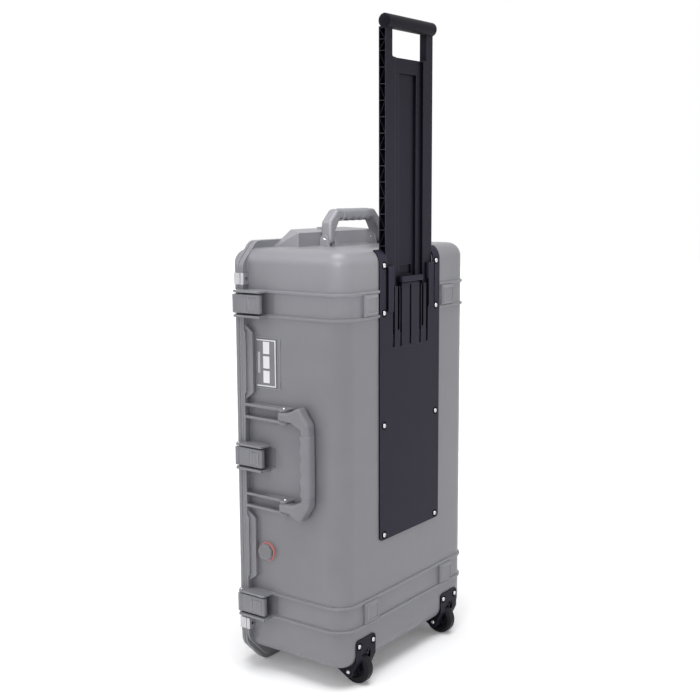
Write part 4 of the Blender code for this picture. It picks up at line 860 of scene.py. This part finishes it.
turns = [math.radians(a) for a in range(0, 91, 9)]
dome = [(GRIP_RADIUS * math.sin(a), GRIP_HALF - GRIP_DOME + GRIP_DOME * math.cos(a)) for a in turns]
grip = new_piece("trolley_grip_bar", lathe(dome + [(r, -h) for r, h in reversed(dome)], "x", GRIP_PLACE, 48))
seats = []
for side in SIDES.values():
    ends = sorted((side * (window_half - FIT), side * (PLATE_HALF + FIT)))
    seats.append(block((ends[0], PLATE[0] - FIT, 1.2), (ends[1], PLATE[1] + FIT, PLATE_SPAN[1] + FIT)))
cut(grip, joined(seats))
dress(grip, "trolley", grip_rubber, "trolley_grip", "trolley_grip")
print("plate:", len(plate.data.polygons), "faces")

# %% [markdown]
# ## Wheels
# Each lower corner has a moulded bracket that hugs the case's edge and holds a short axle. A nylon hub with
# round openings turns on it and carries a cast tyre. Bracket and tyre fit closely, so that grit stays out.

# %% Brackets, axles, hubs and tyres
BRACKET_HALF = 0.0315
BRACKET_TOP = 0.095
BRACKET_REACH = 0.052
BRACKET_BOSS = 0.011
LOW_EDGE = (END_ROUND, BODY_LOW + END_ROUND)
bracket_side = ([(-FIT, BRACKET_TOP)] + arc(LOW_EDGE, END_ROUND + FIT, 180, 270, 16)
                + [(BRACKET_REACH, BODY_LOW - FIT), (BRACKET_REACH, BODY_LOW - FIT - 0.0027)]
                + arc(AXLE, BRACKET_BOSS, -50, -190, 20)
                + [(BRACKET_FACE, 0.054), (BRACKET_FACE, BRACKET_TOP)])
hub_side = [(0.0043, 0.0135), (0.0078, 0.0135), (0.0083, 0.0130), (0.0083, 0.0092), (0.0095, 0.0080),
            (0.0165, 0.0080), (0.0178, 0.0092), (0.0182, 0.0102), (0.0195, 0.0104)]
tyre_side = [(0.0198, 0.0102)] + arc((0.024, 0.005), 0.007, 90, 0, 10) + [(0.0310, 0.0004), (0.0307, 0)]


def arch_lining(x):
    """Tongue that closes the top of the slot in front of a wheel."""
    half = WELL_HALF - FIT
    points = rounded_rect((x - half, AXLE[1]), (x + half, ARCH_TOP - FIT), (0.001, 0.001, 0.009, 0.009))
    return prism(points, "y", BRACKET_FACE / 2, 0.0027)


for name, side in SIDES.items():
    x = side * WHEEL_X
    bm = prism(bracket_side, "x", x - BRACKET_HALF, x + BRACKET_HALF)
    soften(bm, 0.008, 6, lambda a, b: level(a, b, 2, BRACKET_TOP) and abs(a.y - b.y) > SMALL)
    bracket = new_piece(f"wheel_fork_{name}", soften(bm, 0.0007))
    fuse(bracket, arch_lining(x))
    spots = [spot for (owner, _), spot in bracket_screws.items() if owner == name]
    cut(bracket, bar("x", WELL_RADIUS, x - WELL_HALF, x + WELL_HALF, AXLE, 48), arch(x, 0.0012),
        bar("x", 0.0043, x - 0.05, x + 0.05, AXLE), screw_sinks(spots), screw_holes(spots))
    # The brackets take the blacker nylon as painted shade on their sides
    dress(bracket, "case", plate_nylon, "trolley_plastic", f"wheel_bracket_{name}")
    pin(f"axle_rod_{name}", "x", 0.004, x - 0.0335, x + 0.0335, AXLE, "case", f"axle_{name}")
    place = (x, *AXLE)
    hub = new_piece(f"hub_{name}", lathe(hub_side + [(r, -h) for r, h in reversed(hub_side)], "x", place, 48))
    cut(hub, joined([bar("x", 0.0025, x - 0.03, x + 0.03, spot, 16)
                     for spot in arc(AXLE, 0.0130, 0, 300, 5)]))
    dress(hub, f"wheel_{name}", hub_nylon, "wheel_plastic", f"wheel_hub_{name}")
    tread = tyre_side + [(r, -h) for r, h in reversed(tyre_side[:-1])]
    tyre = new_piece(f"tyre_{name}", lathe(tread, "x", place, 64))
    dress(tyre, f"wheel_{name}", urethane, "tyre", f"wheel_tyre_{name}")
for (owner, end), spot in bracket_screws.items():
    screw(f"bracket_screw_{owner}_{end}", spot)
print("wheels:", len(SIDES), "with", len(bracket_screws), "bracket screws")

# %% [markdown]
# ## Carrying handles
# Both handles are stirrups with slanting shoulders, moulded in the case's plastic, with a rubber sleeve
# whose inner side is waved for four fingers. The front one folds flat and the top one stands up. Each is
# drawn upright about its pins and then set in place.

# %% Stirrups, sleeves and pins
LEG = 0.018
BAR_HALF = 0.0120
BAR_DEPTH = 0.019
EYE_REACH = 0.010
SLEEVE = 0.0010
DRAWN_IN = 0.0004
WAVE_DEPTH = 0.0030
WAVES = 4
STATIONS = 80
EAR_CLEAR = 0.0151
PIN_RADIUS = 0.003
PIN_PAST = 0.0015


def sleeve(half, under, over):
    """Rubber sleeve about the bar, waved below, with its ends drawn in."""
    outer = []
    for i in range(STATIONS + 1):
        share = i / STATIONS
        drawn = DRAWN_IN if i in (0, STATIONS) else 0
        low = under - SLEEVE - WAVE_DEPTH * math.cos(math.pi * WAVES * share) ** 2 + drawn
        x = half * (2 * share - 1)
        wide = BAR_HALF + SLEEVE - drawn
        outer.append(across("x", x, rounded_rect((-wide, low), (wide, over + SLEEVE - drawn), 0.0085, 6)))
    bore = rounded_rect((-BAR_HALF - FIT, under - FIT), (BAR_HALF + FIT, over + FIT), 0.0072, 6)
    return loft(outer + [across("x", half, bore), across("x", -half, bore)], wrap=True)


def pin_span(ears):
    """Stretch of a pin through a pair of ears, a little past both."""
    return ears[1][0] - PIN_PAST, ears[0][1] + PIN_PAST


def carrying_handle(name, seat, pivot_half, shoulder_half, grip_half, reach, shoulder_up, ears):
    """Stirrup and sleeve, with bores for two pins, set in place by a matrix."""
    inner_pivot = pivot_half - LEG
    inner_grip = grip_half - LEG / 2
    under = reach - BAR_DEPTH
    right = [(pivot_half, -EYE_REACH), (pivot_half, EAR_CLEAR), (shoulder_half, shoulder_up),
             (grip_half, reach)]
    inside = [(inner_grip, under), (inner_pivot, shoulder_up - BAR_DEPTH), (inner_pivot, -EYE_REACH)]
    points = right + [(-x, z) for x, z in reversed(right)] + [(-x, z) for x, z in reversed(inside)] + inside
    bm = prism(points, "y", -BAR_HALF, BAR_HALF)
    soften(bm, EYE_REACH - RUN, 8, lambda a, b: level(a, b, 2, -EYE_REACH) and abs(a.x - b.x) > SMALL)
    soften(bm, 0.0060, 5)
    spans = mirrored([pin_span(ears)], 0)
    solids = {"stirrup": bm, "bores": joined([bar("x", HANDLE_BORE, *span, (0, 0)) for span in spans]),
              "sleeve": sleeve(inner_grip - BAR_DEPTH / 2, under, reach)}
    for bm in solids.values():
        bmesh.ops.transform(bm, matrix=seat, verts=bm.verts)
    stirrup = new_piece(f"{name}_stirrup", solids["stirrup"])
    cut(stirrup, solids["bores"])
    dress(stirrup, name, polypropylene, "case_plastic", f"{name}_frame")
    dress(new_piece(f"{name}_sleeve", solids["sleeve"]), name, handle_rubber, "handle_rubber", f"{name}_grip")


flat = Matrix(((0, -1, 0, 0), (0, 0, -1, 0), (1, 0, 0, 0), (0, 0, 0, 1)))
carrying_handle("front_handle", Matrix.Translation(FRONT_PIVOT) @ flat, pivot_half=0.096, shoulder_half=0.109,
                grip_half=0.076, reach=0.0648, shoulder_up=0.042, ears=FRONT_EARS)
carrying_handle("top_handle", Matrix.Translation(TOP_PIVOT), pivot_half=0.087, shoulder_half=0.087,
                grip_half=0.062, reach=0.0574, shoulder_up=0.034, ears=TOP_EARS)
pins = {"front_handle": ("z", mirrored([pin_span(FRONT_EARS)], MIDDLE), FRONT_PIVOT.xy),
        "top_handle": ("x", mirrored([pin_span(TOP_EARS)], 0), TOP_PIVOT.yz)}
for index, number in enumerate(("first", "second")):
    for name, (axis, spans, centre) in pins.items():
        pin(f"{name}_rod_{number}", axis, PIN_RADIUS, *spans[index], centre, "case", f"{name}_pin_{number}")
print("carrying handles: 2")

# %% [markdown]
# ## Latches
# A latch is a lever with a round barrel on a steel pin, and a press button let into its arm. A moulded line
# parts barrel and arm. The button has three finger grooves.

# %% Levers, buttons and latch pins
LATCH_IN = 0.2323
LATCH_OUT = 0.2428
LATCH_HALF = 0.0175
LATCH_TIP = 0.17215
TIP_ROUND = 0.0035
BARREL = 0.0065
BUTTON_Y = 0.18915
BUTTON_HALF = (0.010, 0.011)
BUTTON_TOP = -0.2440
BUTTON_GROOVES = (-0.0045, 0, 0.0045)
BUTTON_WELL = -0.2367
PARTING = (0.2008, 0.2022)
LATCH_PIN = (0.0022, 0.026)
OUTSIDE = -0.26
leaves = math.degrees(math.acos((-LATCH_AXIS[0] - LATCH_OUT) / BARREL))
tip = LATCH_TIP + TIP_ROUND
lever_side = (arc(LATCH_AXIS, BARREL, 0, 360 - leaves, 28)
              + arc((-LATCH_OUT + TIP_ROUND, tip), TIP_ROUND, 180, 270, 6)
              + arc((-LATCH_IN - TIP_ROUND, tip), TIP_ROUND, 270, 360, 6))
deep, wide = BUTTON_HALF
radius, half = LATCH_PIN
for name, height in LATCHES.items():
    lever = new_piece(f"lever_{name}",
                      prism(lever_side, "z", height - LATCH_HALF, height + LATCH_HALF, 0.0008))
    well = block((OUTSIDE, BUTTON_Y - deep - FIT, height - wide - FIT),
                 (BUTTON_WELL, BUTTON_Y + deep + FIT, height + wide + FIT))
    line = block((OUTSIDE, PARTING[0], height - 0.03), (-LATCH_OUT + 0.0009, PARTING[1], height + 0.03))
    cut(lever, bar("z", LATCH_BORE, height - 0.04, height + 0.04, LATCH_AXIS), well, line)
    dress(lever, f"latch_{name}", polypropylene, "case_plastic", f"latch_lever_{name}")
    key = block((BUTTON_TOP, BUTTON_Y - deep, height - wide),
                (-LATCH_OUT + 0.0035, BUTTON_Y + deep, height + wide), 0.0008)
    button = new_piece(f"press_button_{name}", key)
    cut(button, joined([block((OUTSIDE, BUTTON_Y + shift - 0.0009, height - wide + 0.003),
                              (BUTTON_TOP + 0.0008, BUTTON_Y + shift + 0.0009, height + wide - 0.003))
                        for shift in BUTTON_GROOVES]))
    dress(button, f"button_{name}", polypropylene, "case_plastic", f"latch_button_{name}")
    pin(f"latch_rod_{name}", "z", radius, height - half, height + half, LATCH_AXIS, "lid",
        f"latch_pin_{name}")
print("latches:", len(LATCHES))

# %% [markdown]
# ## Padlock plates
# Folded stainless sheets armour the padlock holes on both rims, so that a shackle can't tear the plastic.

# %% Folded plates
SHEET = 0.0015
SHEET_HALF = 0.011
PLATE_NEAR = RIM_HALF + FIT
PLATE_FAR = PLATE_NEAR + SHEET
PLATE_FOOT = HALF_WIDTH + FIT
base_low = RIM_FACE - FIT - SHEET
lid_high = LID_RIM_END + FIT + SHEET
folds = {
    "base": [(-PLATE_FAR, base_low), (-PLATE_FOOT, base_low), (-PLATE_FOOT, RIM_FACE - FIT),
             (-PLATE_NEAR, RIM_FACE - FIT), (-PLATE_NEAR, BASE_DEPTH - FIT), (-PLATE_FAR, BASE_DEPTH - FIT)],
    "lid": [(-PLATE_FAR, LID_START + FIT), (-PLATE_NEAR, LID_START + FIT), (-PLATE_NEAR, LID_RIM_END + FIT),
            (-PLATE_FOOT, LID_RIM_END + FIT), (-PLATE_FOOT, lid_high), (-PLATE_FAR, lid_high)]}
for name, height in LOCKS.items():
    for owner, points in folds.items():
        sheet = prism(points, "z", height - SHEET_HALF, height + SHEET_HALF, 0.0004)
        piece = new_piece(f"padlock_sheet_{owner}_{name}", sheet)
        cut(piece, bar("y", LOCK_HOLE, base_low - PAST, lid_high + PAST, (LOCK_X, height)))
        dress(piece, "case" if owner == "base" else "lid", sheet_steel, "steel", f"lock_plate_{owner}_{name}")

# %% [markdown]
# ## Label and pressure valve
# A vinyl card lies in a moulded border on the latch side. It has only printed lines and three empty fields.
# The pressure valve is a scalloped cap on a red ring, turned by hand.

# %% Card, print, ring and cap
CARD = ((0.1527, 0.5690), (0.2002, 0.6600))
CARD_FIELDS = (0.5769, 0.6045, 0.6320)
CARD_RULES = (0.1925, 0.1957)
CARD_FACE = -HALF_WIDTH - FIT - 0.0012
PRINT_FACE = CARD_FACE - 0.0002
card = new_piece("blank_card", prism(rounded_rect(*CARD, 0.0012, 4), "x", CARD_FACE, -HALF_WIDTH - FIT,
                                     0.0002))
dress(card, "case", vinyl, "label", "label_card")
(y0, z0), (y1, z1) = CARD
buried = CARD_FACE + 0.0001
end, outer, inner = y1 - 0.0004, y0 + 0.0010, y0 + 0.0032
line = [(end, z0 + 0.0010), (outer, z0 + 0.0010), (outer, z1 - 0.0010), (end, z1 - 0.0010),
        (end, z1 - 0.0030), (inner, z1 - 0.0030), (inner, z0 + 0.0030), (end, z0 + 0.0030)]
prints = [prism(line, "x", PRINT_FACE, buried)]
for low in CARD_FIELDS:
    field = rounded_rect((0.1690, low), (0.1843, low + 0.0231), 0.0006, 4)
    prints.append(prism(field, "x", PRINT_FACE, buried))
for y in CARD_RULES:
    rule = rounded_rect((y, 0.5950), (y + 0.0011, 0.6350), 0.0002, 2)
    prints.append(prism(rule, "x", PRINT_FACE, buried))
dress(new_piece("card_print", joined(prints)), "case", screen_ink, "label")

VALVE_SEAT = -HALF_WIDTH - FIT
ring_side = [(0.0083, 0), (0.0083, 0.0040), (0.0175, 0.0040), (0.0182, 0.0035), (0.0185, 0.0026), (0.0185, 0)]
ring = new_piece("valve_collar", lathe([(r, -h) for r, h in ring_side], "x", (VALVE_SEAT, *VALVE), 48))
dress(ring, "case", red_acetal, "valve_ring", "valve_ring")
CAP_LOBES = 9
cap_side = [(0, 0.0103), (0.0106, 0.0103), (0.0114, 0.0113), (0.0142, 0.0113), (0.0159, 0.0107),
            (0.0171, 0.0093), (0.0171, 0.0050), (0.0166, 0.0043), (VALVE_STEM, 0.0043), (VALVE_STEM, -WALL),
            (0, -WALL)]
loops = []
for radius, height in cap_side:
    loop = []
    for u, v in arc((0, 0), 1, 0, 355, 71):
        lobe = 0.5 - 0.5 * math.cos(CAP_LOBES * math.atan2(v, u))
        grown = radius * (1 - 0.06 * lobe ** 2) if radius > 0.0150 else radius
        loop.append((VALVE_SEAT - height, VALVE[0] + grown * u, VALVE[1] + grown * v))
    loops.append(loop)
dress(new_piece("valve_knob", loft(loops)), "case", acetal, "valve_cap", "valve_cap")
print("pieces dressed:", len(DRESSED))

# %% [markdown]
# ## Camera, floor and light
# The camera stands where the photograph's did, a little above the case's middle and looking slightly down.
# The floor is a plain pale sweep, lifted a little where it is seen or mirrored, as a lit table would be. A
# wide soft panel hangs above, weaker ones stand to the left, to the right and behind, and a narrow spot picks
# out the top handle, which the pale floor hardly reaches.

# %% Camera
EYE = Vector((-1.7652, -1.2856, 0.936))
YAW = math.radians(36.381)
PITCH = math.radians(8.304)
ROLL = math.radians(-0.268)
FOCAL = 56.454
flat_ahead = Vector((math.cos(YAW), math.sin(YAW), 0))
ahead = math.cos(PITCH) * flat_ahead - math.sin(PITCH) * Vector((0, 0, 1))
rightward = Vector((math.sin(YAW), -math.cos(YAW), 0))
upward = rightward.cross(ahead)
side_axis = math.cos(ROLL) * rightward + math.sin(ROLL) * upward
up_axis = math.cos(ROLL) * upward - math.sin(ROLL) * rightward
camera_data = bpy.data.cameras.new("camera")
camera_data.lens = FOCAL
camera_data.sensor_width = 36.0
camera = bpy.data.objects.new("camera", camera_data)
camera.matrix_world = Matrix.Translation(EYE) @ Matrix((side_axis, up_axis, -ahead)).transposed().to_4x4()
bpy.context.scene.collection.objects.link(camera)
bpy.context.scene.camera = camera
print("camera looks along", [round(v, 3) for v in ahead])

# %% Floor and light
FLOOR_HALF = 12.0
FLOOR_LIFT = 0.12
ROOM_LIGHT = 0.28
SPOT_PLACE = Vector((-1.15, -0.95, 1.35))
SPOT_AIM = Vector((-0.03, 0.03, 0.905))


def seen_rays(tree):
    """One for rays from the eye, from a gloss or through glass, and nothing for the light itself."""
    paths = add_node(tree, "ShaderNodeLightPath").outputs
    seen = add_node(tree, "ShaderNodeMath", {0: paths["Is Camera Ray"], 1: paths["Is Glossy Ray"]},
                    operation="ADD")
    return add_node(tree, "ShaderNodeMath", {0: seen.outputs[0], 1: paths["Is Transmission Ray"]},
                    operation="ADD", use_clamp=True).outputs[0]


bm = bmesh.new()
bmesh.ops.create_grid(bm, x_segments=1, y_segments=1, size=FLOOR_HALF)
floor = new_piece("floor", bm)
floor_paint, tree, shader, coords = new_finish("matt_white_paint")
mottle = add_node(tree, "ShaderNodeTexNoise", {"Vector": coords, "Scale": 3.0, "Detail": 3.0}).outputs["Fac"]
paint = add_node(tree, "ShaderNodeMix", {0: mottle, 6: colour("#F8F8F9"), 7: colour("#FCFCFD")},
                 data_type="RGBA")
tree.links.new(paint.outputs[2], shader.inputs["Base Color"])
shader.inputs["Roughness"].default_value = 0.9
shader.inputs["Specular IOR Level"].default_value = 0.1
shader.inputs["Emission Color"].default_value = (1, 1, 1, 1)
lift = add_node(tree, "ShaderNodeMath", {0: seen_rays(tree), 1: FLOOR_LIFT}, operation="MULTIPLY")
tree.links.new(lift.outputs[0], shader.inputs["Emission Strength"])
floor.data.materials.append(floor_paint)

world = bpy.data.worlds.new("studio")
bpy.context.scene.world = world
world.use_nodes = True
tree = world.node_tree
level_of_light = add_node(tree, "ShaderNodeMapRange", {
    "Value": seen_rays(tree), "To Min": ROOM_LIGHT, "To Max": 1.0})
tree.links.new(level_of_light.outputs[0], tree.nodes["Background"].inputs["Strength"])
tree.nodes["Background"].inputs["Color"].default_value = (1, 1, 1, 1)


def soft_light(name, from_where, strength, spread):
    """Wide soft sun that shines from a direction."""
    data = bpy.data.lights.new(name, "SUN")
    data.energy = strength
    data.angle = math.radians(spread)
    lamp = bpy.data.objects.new(name, data)
    lamp.rotation_euler = Vector(from_where).to_track_quat("Z", "Y").to_euler()
    bpy.context.scene.collection.objects.link(lamp)


soft_light("overhead_panel", (-0.1, -0.1, 1.0), 2.4, 40)
soft_light("left_panel", (-1.0, -0.2, 0.55), 0.50, 35)
soft_light("right_panel", (0.5, -1.0, 0.4), 0.25, 50)
soft_light("back_panel", (-0.8, 0.8, 0.75), 0.40, 25)
spot = bpy.data.lights.new("top_spot", "SPOT")
spot.energy = 185.0
spot.shadow_soft_size = 0.18
spot.spot_size = math.radians(13.5)
spot.spot_blend = 0.9
lamp = bpy.data.objects.new("top_spot", spot)
lamp.location = SPOT_PLACE
lamp.rotation_euler = (SPOT_PLACE - SPOT_AIM).to_track_quat("Z", "Y").to_euler()
bpy.context.scene.collection.objects.link(lamp)
bpy.context.scene.view_settings.view_transform = "Standard"
